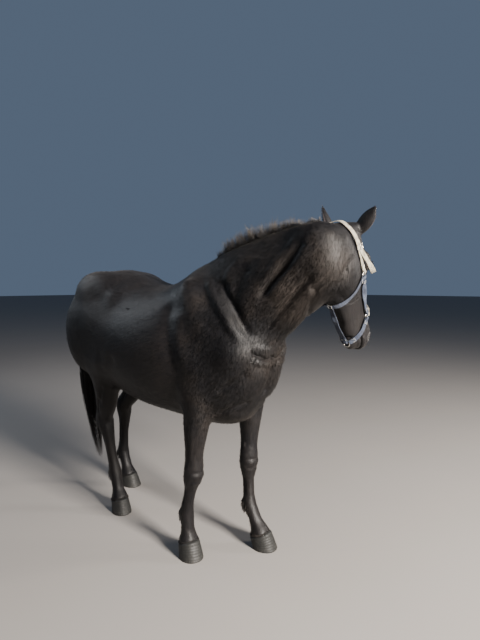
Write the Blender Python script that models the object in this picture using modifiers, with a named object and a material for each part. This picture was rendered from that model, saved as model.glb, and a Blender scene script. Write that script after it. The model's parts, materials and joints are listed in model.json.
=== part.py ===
"""A black cob standing with its head turned to its left, in a webbing halter: a life-size model.

Units are metres, +Z is up, the horse faces -Y and its left side is +X. The flesh is built whole from
lofts and muscle masses, fused into one skin, and then parted into named pieces by thin cuts.
"""

import math
from dataclasses import dataclass

import bmesh
import bpy
import numpy as np
from mathutils import Matrix, Vector
from mathutils.bvhtree import BVHTree

# ---------------------------------------------------------------- driving dimensions
WITHERS_HEIGHT = 1.50
HEAD_LENGTH = 0.61
HEAD_YAW = math.radians(96)
NOSE_FORWARD = math.radians(21.5)
HEAD_ROLL = math.radians(3)
POLL = (1.005, 0.200, 1.660)

GAP = 0.0003
LEG_CUT = 0.655
NECK_CUT = (0.38, 1.50, 0.725, 0.689)

EYE_RADIUS = 0.021
EYE_SEAT = (0.205, -0.024, 0.083)
EAR_ROOT = {1: (0.026, -0.040, 0.064), -1: (0.040, -0.006, 0.070)}
EAR_LEAN = {1: (0.84, 0.54, 0.62), -1: (0.70, 0.20, 0.74)}
EAR_LENGTH = 0.135
# where each ear opens: to the horse's left, and out of its face
EAR_FRONT = {1: (0.90, -0.35), -1: (-0.55, -0.85)}
EAR_SPREAD = {1: 0.94, -1: 1.26}

MANE_SHARES = (0.0, 0.12, 0.32, 0.55, 0.80, 1.0)
MANE_HEIGHTS = (0.006, 0.034, 0.046, 0.028, 0.014, 0.006)

STRAP_WIDTH = 0.024
STRAP_THICKNESS = 0.0028
STRAP_CLEARANCE = 0.0018
STRAP_STEP = 0.020
RING_REACH = 0.0185
UPPER_RING = (0.228, -0.084, 0.095)
LOWER_RING = (0.440, -0.052, 0.070)
CHIN_RING = (0.540, -0.185, 0.0)

TAIL_TABLE = (
    # ahead, left, up, half width, half depth
    (-0.730, 0.0, 1.320, 0.030, 0.026),
    (-0.795, 0.0, 1.265, 0.036, 0.030),
    (-0.832, 0.0, 1.170, 0.043, 0.036),
    (-0.846, 0.0, 1.030, 0.050, 0.040),
    (-0.850, 0.0, 0.870, 0.054, 0.042),
    (-0.846, 0.0, 0.720, 0.052, 0.040),
    (-0.815, 0.0, 0.560, 0.044, 0.032),
    (-0.770, 0.0, 0.410, 0.030, 0.022),
    (-0.730, 0.0, 0.290, 0.014, 0.011),
    (-0.715, 0.0, 0.245, 0.005, 0.005),
)

VOXEL = 0.010
RING_POINTS = 32
HOOF_SIDES = 14
LOFT_STEP = 0.02
FLESH_FACES = (3050, 4900, 11200)


def place(ahead, left, up):
    """A point of the horse's own frame, as a world point."""
    return Vector((left, -ahead, up))


# ---------------------------------------------------------------- lofts
@dataclass(frozen=True)
class Section:
    """One cross-section: its centre, its reach to each side, and how square its two halves are."""

    ahead: float
    left: float
    up: float
    half_width: float
    dorsal: float
    ventral: float
    crown: float = 2.0
    keel: float = 2.0
    flare: float = 0.0


def smooth_rows(rows, step):
    """Rows of numbers, the first three a position, refined along a smooth curve through them."""
    rows = np.asarray(rows, float)
    gaps = np.linalg.norm(np.diff(rows[:, :3], axis=0), axis=1)
    along = np.concatenate([[0.0], np.cumsum(gaps)])
    slopes = np.gradient(rows, along, axis=0)
    wanted = np.linspace(0.0, along[-1], max(2, int(along[-1] / step) + 1))
    found = []
    for at in wanted:
        i = min(int(np.searchsorted(along, at, side="right")) - 1, len(along) - 2)
        span = along[i + 1] - along[i]
        t = (at - along[i]) / span
        found.append(
            (2 * t**3 - 3 * t**2 + 1) * rows[i]
            + (t**3 - 2 * t**2 + t) * span * slopes[i]
            + (3 * t**2 - 2 * t**3) * rows[i + 1]
            + (t**3 - t**2) * span * slopes[i + 1]
        )
    return np.array(found)


def ring(row, side, back, count=RING_POINTS):
    """The points of one cross-section, in the plane of its side and back directions."""
    half_width, dorsal, ventral, crown, keel, flare = row[3:9]
    angles = np.linspace(0, 2 * math.pi, count, endpoint=False)
    c, s = np.cos(angles), np.sin(angles)
    power = np.where(s > 0, crown, keel)
    x = half_width * np.sign(c) * np.abs(c) ** (2 / power)
    y = np.where(s > 0, dorsal, ventral) * np.sign(s) * np.abs(s) ** (2 / power)
    x = x * (1 + flare * np.sign(s) * np.abs(s) ** (2 / power))
    return row[:3] + np.outer(x, side) + np.outer(y, back)


def loft(rows, dorsal_hint):
    """A closed tube through the cross-sections; the hint says which way their backs face."""
    rows = smooth_rows(rows, LOFT_STEP)
    tangents = np.gradient(rows[:, :3], axis=0)
    rings = []
    for row, tangent in zip(rows, tangents):
        tangent = tangent / np.linalg.norm(tangent)
        side = np.cross(tangent, dorsal_hint)
        side /= np.linalg.norm(side)
        rings.append(ring(row, side, np.cross(side, tangent)))
    points = np.concatenate(rings)
    made = bmesh.new()
    verts = [made.verts.new(p) for p in points]
    for j in range(len(rings) - 1):
        for i in range(RING_POINTS):
            k = (i + 1) % RING_POINTS
            a, b = j * RING_POINTS, (j + 1) * RING_POINTS
            made.faces.new((verts[a + i], verts[a + k], verts[b + k], verts[b + i]))
    made.faces.new(verts[:RING_POINTS])
    made.faces.new(verts[-RING_POINTS:])
    bmesh.ops.recalc_face_normals(made, faces=made.faces)
    return made


def world_rows(sections):
    """The sections as rows of numbers, their centres in the world frame."""
    return [
        (*place(s.ahead, s.left, s.up), s.half_width, s.dorsal, s.ventral, s.crown, s.keel, s.flare)
        for s in sections
    ]


def ball(centre, radii, turn=None):
    """An ellipsoid, with its radii along ahead, left and up before it is turned."""
    made = bmesh.new()
    bmesh.ops.create_uvsphere(made, u_segments=24, v_segments=14, radius=1.0)
    ahead, left, up = radii
    matrix = Matrix.Translation(place(*centre))
    if turn is not None:
        matrix = matrix @ turn.to_4x4()
    bmesh.ops.transform(made, matrix=matrix @ Matrix.Diagonal((left, ahead, up, 1.0)), verts=made.verts)
    return made


def pitched(degrees):
    """A turn about the left-right axis; positive leans the top of a mass back."""
    return Matrix.Rotation(math.radians(-degrees), 3, "X")


# ---------------------------------------------------------------- the trunk
TRUNK_TABLE = (
    # ahead, top, widest, bottom, half width, crown power, keel power
    (-0.805, 1.24, 1.18, 1.10, 0.045, 2.0, 2.0),
    (-0.765, 1.30, 1.18, 1.01, 0.130, 2.0, 2.0),
    (-0.690, 1.355, 1.18, 0.94, 0.210, 2.0, 2.0),
    (-0.580, 1.422, 1.17, 0.88, 0.262, 2.0, 2.0),
    (-0.450, 1.472, 1.15, 0.84, 0.288, 2.0, 2.0),
    (-0.300, 1.452, 1.12, 0.775, 0.292, 1.95, 2.1),
    (-0.160, 1.408, 1.08, 0.720, 0.300, 1.95, 2.2),
    (0.000, 1.375, 1.05, 0.695, 0.312, 1.95, 2.2),
    (0.140, 1.388, 1.04, 0.688, 0.312, 1.9, 2.2),
    (0.260, 1.430, 1.04, 0.680, 0.296, 1.8, 2.1),
    (0.380, 1.490, 1.05, 0.670, 0.264, 1.7, 2.0),
    (0.500, 1.480, 1.06, 0.685, 0.238, 1.75, 2.0),
    (0.610, 1.400, 1.07, 0.745, 0.207, 2.0, 2.0),
    (0.690, 1.300, 1.07, 0.830, 0.165, 2.0, 2.0),
    (0.740, 1.200, 1.07, 0.930, 0.105, 2.0, 2.0),
    (0.765, 1.130, 1.07, 1.000, 0.040, 2.0, 2.0),
)


def trunk_masses():
    """The barrel, and the muscle masses of shoulder, breast, croup and thigh on each side."""
    rows = [
        (*place(ahead, 0, widest), width, top - widest, widest - bottom, crown, keel, 0.0)
        for ahead, top, widest, bottom, width, crown, keel in TRUNK_TABLE
    ]
    masses = [loft(rows, (0, 0, 1))]
    for side in (-1, 1):
        masses += [
            ball((0.45, side * 0.172, 1.20), (0.085, 0.070, 0.24), pitched(30)),
            ball((0.40, side * 0.198, 0.99), (0.15, 0.070, 0.13), pitched(-15)),
            ball((0.620, side * 0.145, 1.05), (0.085, 0.078, 0.10)),
            ball((0.640, side * 0.075, 0.95), (0.085, 0.075, 0.14)),
            ball((-0.42, side * 0.140, 1.32), (0.24, 0.128, 0.140), pitched(-4)),
            ball((-0.205, side * 0.205, 1.28), (0.07, 0.055, 0.07)),
            ball((-0.540, side * 0.172, 1.08), (0.20, 0.112, 0.26), pitched(12)),
            ball((-0.290, side * 0.208, 0.96), (0.11, 0.080, 0.14), pitched(-25)),
        ]
    return masses


# ---------------------------------------------------------------- the legs
@dataclass(frozen=True)
class Foreleg:
    """Where the joints of one foreleg stand, as (ahead, left, up)."""

    elbow: tuple
    knee: tuple
    fetlock: tuple
    hoof: tuple
    toe_out: float


@dataclass(frozen=True)
class Hindleg:
    """Where the joints of one hind leg stand, as (ahead, left, up)."""

    hip: tuple
    stifle: tuple
    hock: tuple
    fetlock: tuple
    hoof: tuple
    toe_out: float


FORELEGS = {
    "right": Foreleg(
        (0.435, -0.172, 0.86), (0.385, -0.160, 0.430), (0.325, -0.150, 0.215), (0.362, -0.158, 0.0), -16,
    ),
    "left": Foreleg(
        (0.475, 0.172, 0.86), (0.468, 0.162, 0.430), (0.487, 0.150, 0.210), (0.582, 0.160, 0.0), 12,
    ),
}
HINDLEGS = {
    "right": Hindleg(
        (-0.47, -0.155, 1.12), (-0.27, -0.185, 0.93), (-0.44, -0.13, 0.555), (-0.385, -0.10, 0.215),
        (-0.315, -0.11, 0.0), -12,
    ),
    "left": Hindleg(
        (-0.50, 0.155, 1.12), (-0.33, 0.185, 0.93), (-0.64, 0.15, 0.555), (-0.675, 0.155, 0.215),
        (-0.60, 0.165, 0.0), 12,
    ),
}


def between(a, b, t, ahead=0.0):
    """The point a share t of the way from joint a to joint b, moved ahead a little."""
    return tuple(p + (q - p) * t + (ahead if i == 0 else 0.0) for i, (p, q) in enumerate(zip(a, b)))


def limb(points):
    """A leg's loft, from (centre, half width, front, back) rows; its backs face ahead."""
    rows = [(*place(*centre), width, front, back, 2.0, 2.0, 0.0) for centre, width, front, back in points]
    return loft(rows, (0, -1, 0))


def foreleg_mass(leg):
    """One foreleg from inside the shoulder down to the coronet."""
    e, k, f = leg.elbow, leg.knee, leg.fetlock
    coronet = coronet_of(leg)
    return limb(
        (
            ((e[0] + 0.03, e[1] * 0.88, 1.08), 0.080, 0.10, 0.12),
            ((e[0] + 0.01, e[1] * 0.95, 0.96), 0.080, 0.11, 0.13),
            (between(e, k, 0.00), 0.077, 0.096, 0.112),
            (between(e, k, 0.16), 0.072, 0.086, 0.088),
            (between(e, k, 0.34), 0.063, 0.072, 0.068),
            (between(e, k, 0.56), 0.052, 0.056, 0.054),
            (between(e, k, 0.76), 0.045, 0.044, 0.046),
            (between(e, k, 0.90), 0.050, 0.048, 0.046),
            (between(e, k, 1.00), 0.053, 0.052, 0.048),
            (between(k, f, 0.16), 0.046, 0.041, 0.046),
            (between(k, f, 0.34), 0.032, 0.030, 0.037),
            (between(k, f, 0.60), 0.028, 0.026, 0.035),
            (between(k, f, 0.82), 0.031, 0.028, 0.037),
            (between(k, f, 1.00), 0.038, 0.035, 0.043),
            (between(f, coronet, 0.35), 0.035, 0.032, 0.038),
            (between(f, coronet, 0.70), 0.038, 0.034, 0.037),
            (coronet, 0.054, 0.050, 0.054),
            ((coronet[0] + 0.012, coronet[1], 0.03), 0.056, 0.054, 0.056),
        )
    )


def coronet_of(leg):
    """The middle of the coronet, above the hoof and a little behind its middle."""
    turn = math.radians(leg.toe_out)
    back = 0.026
    return (leg.hoof[0] - back * math.cos(turn), leg.hoof[1] - back * math.sin(turn), 0.078)


def hindleg_mass(leg):
    """One hind leg from inside the croup down to the coronet."""
    h, s, k, f = leg.hip, leg.stifle, leg.hock, leg.fetlock
    coronet = coronet_of(leg)
    return limb(
        (
            (h, 0.120, 0.20, 0.20),
            (((h[0] + s[0]) / 2 - 0.03, s[1] * 0.92, 1.00), 0.108, 0.180, 0.19),
            ((s[0] - 0.100, s[1] * 0.93, 0.89), 0.090, 0.130, 0.155),
            ((s[0] * 0.48 + k[0] * 0.52 - 0.02, s[1] * 0.5 + k[1] * 0.5, 0.78), 0.072, 0.096, 0.100),
            (between(s, k, 0.75, -0.005), 0.055, 0.065, 0.075),
            (between(s, k, 0.90, -0.008), 0.047, 0.054, 0.066),
            (between(s, k, 1.00, -0.010), 0.048, 0.051, 0.066),
            (between(k, f, 0.14, -0.004), 0.047, 0.048, 0.054),
            (between(k, f, 0.28), 0.038, 0.038, 0.044),
            (between(k, f, 0.50), 0.031, 0.029, 0.038),
            (between(k, f, 0.80), 0.032, 0.030, 0.038),
            (between(k, f, 1.00), 0.040, 0.036, 0.044),
            (between(f, coronet, 0.35), 0.036, 0.033, 0.038),
            (between(f, coronet, 0.70), 0.038, 0.034, 0.037),
            (coronet, 0.053, 0.049, 0.053),
            ((coronet[0] + 0.012, coronet[1], 0.03), 0.055, 0.053, 0.055),
        )
    )


# ---------------------------------------------------------------- the head's own frame
def head_frame():
    """The head's matrix: x to its left, y out of its face, z up along its profile, zero at the poll."""
    facing = place(math.cos(HEAD_YAW), math.sin(HEAD_YAW), 0)
    down = Vector((0, 0, -math.cos(NOSE_FORWARD))) + facing * math.sin(NOSE_FORWARD)
    left = facing.cross(down).normalized()
    face = down.cross(left).normalized()
    turn = Matrix((left, face, -down)).transposed()
    return Matrix.Translation(place(*POLL)) @ turn.to_4x4() @ Matrix.Rotation(HEAD_ROLL, 4, "Z")


def on_head(down, face, left):
    """A point of the head, given down its profile from the poll, out of its face, and to its left."""
    return head_frame() @ Vector((left, face, -down))


HEAD_TABLE = (
    # down the profile, face edge, jaw edge, widest line, half width, crown power, keel power, flare
    (-0.012, -0.052, -0.120, -0.09, 0.034, 2.0, 2.0, 0.0),
    (0.010, -0.020, -0.170, -0.09, 0.064, 2.2, 2.0, 0.0),
    (0.060, 0.006, -0.205, -0.08, 0.079, 2.4, 2.0, 0.0),
    (0.110, 0.024, -0.235, -0.072, 0.087, 2.5, 2.1, 0.0),
    (0.170, 0.034, -0.256, -0.066, 0.091, 2.5, 2.2, 0.0),
    (0.230, 0.034, -0.258, -0.064, 0.086, 2.3, 2.3, 0.0),
    (0.290, 0.026, -0.240, -0.060, 0.077, 2.2, 2.2, 0.0),
    (0.350, 0.018, -0.213, -0.058, 0.068, 2.2, 2.1, 0.0),
    (0.410, 0.013, -0.190, -0.056, 0.062, 2.2, 2.1, 0.0),
    (0.470, 0.012, -0.168, -0.054, 0.059, 2.3, 2.2, 0.0),
    (0.525, 0.012, -0.152, -0.050, 0.061, 2.4, 2.3, 0.0),
    (0.565, 0.002, -0.145, -0.055, 0.058, 2.4, 2.3, 0.0),
    (0.597, -0.018, -0.126, -0.064, 0.047, 2.2, 2.2, 0.0),
    (0.612, -0.044, -0.098, -0.070, 0.024, 2.0, 2.0, 0.0),
)


def head_ball(centre, radii, turn=0.0):
    """An ellipsoid of the head: centre and radii as (down, face, left), leaned about the left axis."""
    made = bmesh.new()
    bmesh.ops.create_uvsphere(made, u_segments=24, v_segments=14, radius=1.0)
    down, face, left = radii
    matrix = (
        head_frame()
        @ Matrix.Translation((centre[2], centre[1], -centre[0]))
        @ Matrix.Rotation(math.radians(turn), 4, "X")
        @ Matrix.Diagonal((left, face, down, 1.0))
    )
    bmesh.ops.transform(made, matrix=matrix, verts=made.verts)
    return made


def head_masses():
    """The head's loft, and its brows, cheeks, crests, nostrils, lips and chin."""
    frame = head_frame()
    rows = []
    for down, face, jaw, widest, width, crown, keel, flare in HEAD_TABLE:
        centre = frame @ Vector((0, widest, -down))
        rows.append((*centre, width, face - widest, widest - jaw, crown, keel, flare))
    hint = frame.to_3x3() @ Vector((0, 1, 0))
    masses = [loft(rows, hint)]
    for side in (-1, 1):
        masses += [
            head_ball((0.188, -0.010, side * 0.076), (0.048, 0.036, 0.030)),
            head_ball((0.195, -0.155, side * 0.058), (0.112, 0.088, 0.036), 0),
            head_ball((0.300, -0.050, side * 0.062), (0.095, 0.015, 0.014), 0),
            head_ball((0.535, -0.020, side * 0.042), (0.036, 0.026, 0.020), 0),
            head_ball((0.044, -0.026, side * 0.050), (0.044, 0.034, 0.034), 0),
        ]
    masses.append(head_ball((0.556, -0.124, 0), (0.032, 0.028, 0.036)))
    masses.append(head_ball((0.045, -0.100, 0), (0.062, 0.085, 0.068)))
    return masses


# ---------------------------------------------------------------- the neck
def neck_mass():
    """The neck, from inside the chest, round to the left, and into the back of the head."""
    nape = on_head(0.075, -0.105, 0)
    atlas = on_head(0.105, -0.180, 0.032)
    end, before = (-nape.y, nape.x, nape.z), (-atlas.y, atlas.x, atlas.z)
    sections = (
        Section(0.36, 0.000, 1.170, 0.175, 0.250, 0.300, 1.75),
        Section(0.48, 0.000, 1.215, 0.168, 0.298, 0.275, 1.7),
        Section(0.60, 0.006, 1.275, 0.152, 0.295, 0.250, 1.7),
        Section(0.71, 0.022, 1.335, 0.136, 0.272, 0.222, 1.7),
        Section(0.81, 0.040, 1.395, 0.126, 0.242, 0.198, 1.7),
        Section(0.895, 0.058, 1.447, 0.119, 0.215, 0.178, 1.75),
        Section(before[0], before[1], before[2] + 0.004, 0.118, 0.176, 0.160, 1.9),
        Section(end[0], end[1], end[2] - 0.005, 0.096, 0.130, 0.130, 2.0),
    )
    return loft(world_rows(sections), (0, 0, 1))


# ---------------------------------------------------------------- fusing the flesh
def joined(masses):
    """All the masses as one mesh, overlapping."""
    whole = bmesh.new()
    for mass in masses:
        piece = bpy.data.meshes.new("mass")
        mass.to_mesh(piece)
        mass.free()
        whole.from_mesh(piece)
        bpy.data.meshes.remove(piece)
    made = bpy.data.meshes.new("flesh")
    whole.to_mesh(made)
    whole.free()
    return made


def remeshed(mesh, voxel):
    """One closed skin round the overlapping masses."""
    carrier = bpy.data.objects.new("carrier", mesh)
    bpy.context.scene.collection.objects.link(carrier)
    remesh = carrier.modifiers.new("fuse", "REMESH")
    remesh.mode = "VOXEL"
    remesh.voxel_size = voxel
    graph = bpy.context.evaluated_depsgraph_get()
    found = bpy.data.meshes.new_from_object(carrier.evaluated_get(graph))
    bpy.data.objects.remove(carrier)
    return found


def trunk_share(points):
    """How much each point is of the trunk and neck rather than of the legs or the head, 0 to 1."""
    frame = np.array(head_frame().inverted())
    local = points @ frame[:3, :3].T + frame[:3, 3]
    low = np.clip((points[:, 2] - 0.66) / 0.14, 0.0, 1.0)
    down = -local[:, 2]
    reach = np.hypot(local[:, 0], np.clip(local[:, 1] + 0.10, -1, 1) * 0.7)
    head = np.clip((reach - 0.10) / 0.08, 0.0, 1.0)
    head = np.maximum(head, np.clip((-0.02 - down - local[:, 1]) / 0.06, 0.0, 1.0))
    return np.maximum(0.04, low * np.clip(head, 0.10, 1.0))


def relaxed(mesh, passes, ease, swell, weight_of=None):
    """The mesh with its creases eased: each pass moves a point to its neighbours' middle, then back."""
    count = len(mesh.vertices)
    points = np.empty(count * 3)
    mesh.vertices.foreach_get("co", points)
    points = points.reshape(-1, 3)
    ends = np.empty(len(mesh.edges) * 2, np.int64)
    mesh.edges.foreach_get("vertices", ends)
    a, b = ends.reshape(-1, 2).T
    degree = np.bincount(a, minlength=count) + np.bincount(b, minlength=count)
    weight = np.ones(count) if weight_of is None else weight_of(points)

    def pull(points, factor):
        total = np.stack(
            [
                np.bincount(a, points[b, i], count) + np.bincount(b, points[a, i], count)
                for i in range(3)
            ],
            axis=1,
        )
        return points + factor * weight[:, None] * (total / degree[:, None] - points)

    for _ in range(passes):
        points = pull(points, ease)
        if swell:
            points = pull(points, swell)
    mesh.vertices.foreach_set("co", points.ravel())
    mesh.update()
    return mesh


def thinned(mesh, faces):
    """The mesh brought down to about so many triangles."""
    carrier = bpy.data.objects.new("carrier", mesh.copy())
    bpy.context.scene.collection.objects.link(carrier)
    decimate = carrier.modifiers.new("thin", "DECIMATE")
    decimate.ratio = faces / (2 * len(mesh.polygons))
    graph = bpy.context.evaluated_depsgraph_get()
    found = bpy.data.meshes.new_from_object(carrier.evaluated_get(graph))
    bpy.data.objects.remove(carrier)
    return found


def flesh():
    """The whole body as one closed mesh."""
    masses = trunk_masses() + head_masses() + [neck_mass()]
    masses += [foreleg_mass(leg) for leg in FORELEGS.values()]
    masses += [hindleg_mass(leg) for leg in HINDLEGS.values()]
    blended = relaxed(remeshed(joined(masses), VOXEL), 55, 0.5, 0.0, trunk_share)
    return relaxed(blended, 12, 0.60, -0.615)


# ---------------------------------------------------------------- cutting
def from_bmesh(made, name="piece"):
    """The bmesh as a mesh of triangles."""
    bmesh.ops.triangulate(made, faces=made.faces)
    bmesh.ops.recalc_face_normals(made, faces=made.faces)
    mesh = bpy.data.meshes.new(name)
    made.to_mesh(mesh)
    made.free()
    return mesh


def cut(mesh, cutter, operation):
    """One exact boolean of two meshes."""
    carrier = bpy.data.objects.new("carrier", mesh)
    tool = bpy.data.objects.new("tool", cutter)
    bpy.context.scene.collection.objects.link(carrier)
    bpy.context.scene.collection.objects.link(tool)
    modifier = carrier.modifiers.new("cut", "BOOLEAN")
    modifier.operation = operation
    modifier.solver = "EXACT"
    modifier.object = tool
    graph = bpy.context.evaluated_depsgraph_get()
    found = bpy.data.meshes.new_from_object(carrier.evaluated_get(graph))
    bpy.data.objects.remove(carrier)
    bpy.data.objects.remove(tool)
    return found


def grown(mesh, by):
    """A copy of the mesh pushed out along its normals."""
    made = mesh.copy()
    for vertex, normal in zip(made.vertices, [n.vector.copy() for n in mesh.vertex_normals]):
        vertex.co += normal * by
    return made


def clipped(mesh, point, normal):
    """The part of a closed mesh on the far side of a plane, along its normal, closed again."""
    made = bmesh.new()
    made.from_mesh(mesh)
    parts = made.verts[:] + made.edges[:] + made.faces[:]
    bmesh.ops.bisect_plane(made, geom=parts, plane_co=point, plane_no=normal, clear_inner=True, dist=1e-6)
    rim = [edge for edge in made.edges if edge.is_boundary]
    bmesh.ops.edgenet_fill(made, edges=rim)
    return from_bmesh(made)


def loose_parts(mesh):
    """The separate bodies of a mesh, each as a mesh of its own."""
    made = bmesh.new()
    made.from_mesh(mesh)
    made.verts.ensure_lookup_table()
    seen = set()
    parts = []
    for start in made.verts:
        if start.index in seen:
            continue
        group, waiting = set(), [start]
        while waiting:
            vertex = waiting.pop()
            if vertex.index in group:
                continue
            group.add(vertex.index)
            waiting += [edge.other_vert(vertex) for edge in vertex.link_edges]
        seen |= group
        if len(group) > 12:
            piece = made.copy()
            piece.verts.ensure_lookup_table()
            others = [v for v in piece.verts if v.index not in group]
            bmesh.ops.delete(piece, geom=others, context="VERTS")
            parts.append(from_bmesh(piece))
    made.free()
    return parts


def middle(mesh):
    """The mean of a mesh's points."""
    total = Vector()
    for vertex in mesh.vertices:
        total += vertex.co
    return total / len(mesh.vertices)


def hull(points):
    """The closed convex mesh round a few points."""
    made = bmesh.new()
    for point in points:
        made.verts.new(point)
    found = bmesh.ops.convex_hull(made, input=made.verts)
    spare = [g for g in found["geom_interior"] + found["geom_unused"] if isinstance(g, bmesh.types.BMVert)]
    bmesh.ops.delete(made, geom=list(set(spare)), context="VERTS")
    return from_bmesh(made)


def head_region(margin):
    """The wedge that holds the head, cut off from nape to throat and down the left cheek."""
    points = []
    back = -0.30 - margin
    for down, face in ((-0.27 - margin, 0.25), (0.75, 0.25), (0.75, back), (0.20 - margin, back)):
        points.append(on_head(down, face, -0.30))
        points.append(on_head(down, face, 0.130 + 0.175 * face + margin))
    return hull(points)


# ---------------------------------------------------------------- the hooves
def coronet_plane(leg):
    """The plane between flesh and horn: a point of it, and its normal, which points up."""
    toe = Vector((math.sin(math.radians(leg.toe_out)), -math.cos(math.radians(leg.toe_out)), 0))
    middle_point = place(leg.hoof[0], leg.hoof[1], 0.074)
    return middle_point, (Vector((0, 0, 1)) - toe * 0.38).normalized(), toe


def hoof(leg, length, width):
    """One hoof, from its flat sole to the sloping coronet."""
    origin, normal, toe = coronet_plane(leg)
    side = Vector((0, 0, 1)).cross(toe)
    base = place(leg.hoof[0], leg.hoof[1], 0)
    made = bmesh.new()
    rings = []
    for share, swell in ((0.0, -0.003), (0.04, 0.0), (0.45, 0.001), (0.86, 0.001), (1.0, -0.002)):
        ring_verts = []
        for step in range(HOOF_SIDES):
            angle = 2 * math.pi * step / HOOF_SIDES
            c, s = math.cos(angle), math.sin(angle)
            low = length * (c if c > 0 else c * 0.93) + swell * c
            high = -0.024 + length * 0.80 * c + swell * c
            across = (width * (1 - share) + width * 0.86 * share + swell) * math.copysign(abs(s) ** 0.9, s)
            along = low * (1 - share) + high * share
            roof = (origin - base).dot(normal) - along * toe.dot(normal)
            point = base + toe * along + side * across
            point.z = share * roof / normal.z
            ring_verts.append(made.verts.new(point))
        rings.append(ring_verts)
    for lower, upper in zip(rings, rings[1:]):
        for i in range(HOOF_SIDES):
            k = (i + 1) % HOOF_SIDES
            made.faces.new((lower[i], lower[k], upper[k], upper[i]))
    made.faces.new(rings[0])
    made.faces.new(rings[-1])
    return from_bmesh(made)


# ---------------------------------------------------------------- eyes and ears
def eye_ball(side, radius):
    """One eyeball."""
    made = bmesh.new()
    bmesh.ops.create_uvsphere(made, u_segments=12, v_segments=7, radius=radius)
    bmesh.ops.translate(made, verts=made.verts, vec=on_head(EYE_SEAT[0], EYE_SEAT[1], side * EYE_SEAT[2]))
    return from_bmesh(made)


def ear_loft(side, shares, scale, lift):
    """A leaf-shaped body standing on the skull; lift moves it towards the ear's open front."""
    frame = head_frame()
    lean = EAR_LEAN[side]
    axis = Vector((side * lean[2], lean[1], lean[0])).normalized()
    front = Vector((*EAR_FRONT[side], 0.0))
    front = (front - axis * front.dot(axis)).normalized()
    root = Vector((side * EAR_ROOT[side][2], EAR_ROOT[side][1], -EAR_ROOT[side][0]))
    rows = []
    for share, width, depth in shares:
        bend = -0.10 * share * share
        centre = root + axis * (EAR_LENGTH * share) + front * (lift + EAR_LENGTH * bend)
        across = width * scale * EAR_SPREAD[side]
        rows.append((*(frame @ centre), across, depth * scale, depth * scale, 2.0, 2.0, 0.0))
    return loft_coarse(rows, frame.to_3x3() @ front, 10)


def loft_coarse(rows, hint, sides):
    """A loft through the rows as they stand, with only a few points to each ring."""
    rows = np.asarray(rows, float)
    tangents = np.gradient(rows[:, :3], axis=0)
    made = bmesh.new()
    rings = []
    for row, tangent in zip(rows, tangents):
        tangent = tangent / np.linalg.norm(tangent)
        across = np.cross(tangent, hint)
        across /= np.linalg.norm(across)
        points = ring(row, across, np.cross(across, tangent), sides)
        rings.append([made.verts.new(p) for p in points])
    for lower, upper in zip(rings, rings[1:]):
        for i in range(sides):
            k = (i + 1) % sides
            made.faces.new((lower[i], lower[k], upper[k], upper[i]))
    made.faces.new(rings[0])
    made.faces.new(rings[-1])
    return from_bmesh(made)


def ear(side, body):
    """One cupped ear."""
    leaf = ((-0.15, 0.022, 0.020), (0.05, 0.027, 0.024), (0.25, 0.031, 0.025), (0.45, 0.030, 0.021))
    leaf += ((0.65, 0.024, 0.016), (0.82, 0.015, 0.010), (0.94, 0.007, 0.006), (1.0, 0.003, 0.003))
    cup = ((0.14, 0.012, 0.012), (0.28, 0.024, 0.020), (0.45, 0.0245, 0.019), (0.65, 0.019, 0.014))
    cup += ((0.82, 0.010, 0.008), (0.92, 0.003, 0.003))
    outer = ear_loft(side, leaf, 1.0, 0.0)
    hollow = cut(outer, ear_loft(side, cup, 1.0, 0.011), "DIFFERENCE")
    return biggest(cut(hollow, body.copy(), "DIFFERENCE"))


def biggest(mesh):
    """The largest of a mesh's bodies."""
    return max(loose_parts(mesh), key=lambda part: len(part.vertices))


# ---------------------------------------------------------------- mane and tail
def crest_line(body, count):
    """Points along the top of the neck, from the withers to the nape."""
    tree = BVHTree.FromPolygons([v.co for v in body.vertices], [p.vertices for p in body.polygons])
    nape = on_head(0.0, -0.145, 0.035)
    line = []
    for step in range(count):
        t = step / (count - 1)
        ahead = 0.40 + (-nape.y - 0.40) * t
        left = nape.x * max(0.0, (t - 0.25) / 0.75) ** 1.6
        best = None
        for nudge in range(-4, 5):
            hit = tree.ray_cast(Vector((left + nudge * 0.008, -ahead, 2.0)), Vector((0, 0, -1)))[0]
            if hit is not None and (best is None or hit.z > best.z):
                best = hit
        line.append(best)
    return line


def mane(body):
    """The short upright mane: a ridge along the crest with a ragged top."""
    line = crest_line(body, 30)
    for _ in range(8):
        line = [line[0]] + [(a + b + c) / 3 for a, b, c in zip(line, line[1:], line[2:])] + [line[-1]]
    made = bmesh.new()
    rings = []
    for step, centre in enumerate(line):
        t = step / (len(line) - 1)
        tall = float(np.interp(t, MANE_SHARES, MANE_HEIGHTS))
        tall *= 1.0 + 0.20 * math.sin(step * 2.4) * math.sin(step * 1.3)
        after, before = line[min(step + 1, len(line) - 1)], line[max(step - 1, 0)]
        along = (after - before).normalized()
        side = along.cross(Vector((0, 0, 1))).normalized()
        up = side.cross(along)
        outline = ((-0.018, -0.02), (-0.005, tall), (0.005, tall), (0.018, -0.02))
        rings.append([made.verts.new(centre + side * x + up * y) for x, y in outline])
    close_rings(made, rings)
    return biggest(cut(from_bmesh(made), body.copy(), "DIFFERENCE"))


def close_rings(made, rings):
    """Faces between the rings, and a cap at each end."""
    sides = len(rings[0])
    for lower, upper in zip(rings, rings[1:]):
        for i in range(sides):
            k = (i + 1) % sides
            made.faces.new((lower[i], lower[k], upper[k], upper[i]))
    made.faces.new(rings[0])
    made.faces.new(rings[-1])


def tail(body):
    """The tail, hanging from the dock."""
    rows = []
    for ahead, left, up, width, deep in TAIL_TABLE:
        rows.append((*place(ahead, left, up), width, deep, deep, 2.0, 2.0, 0.0))
    solid = loft_coarse(smooth_rows(rows, 0.09), (0, 1, 0.2), 10)
    return biggest(cut(solid, body.copy(), "DIFFERENCE"))


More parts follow.
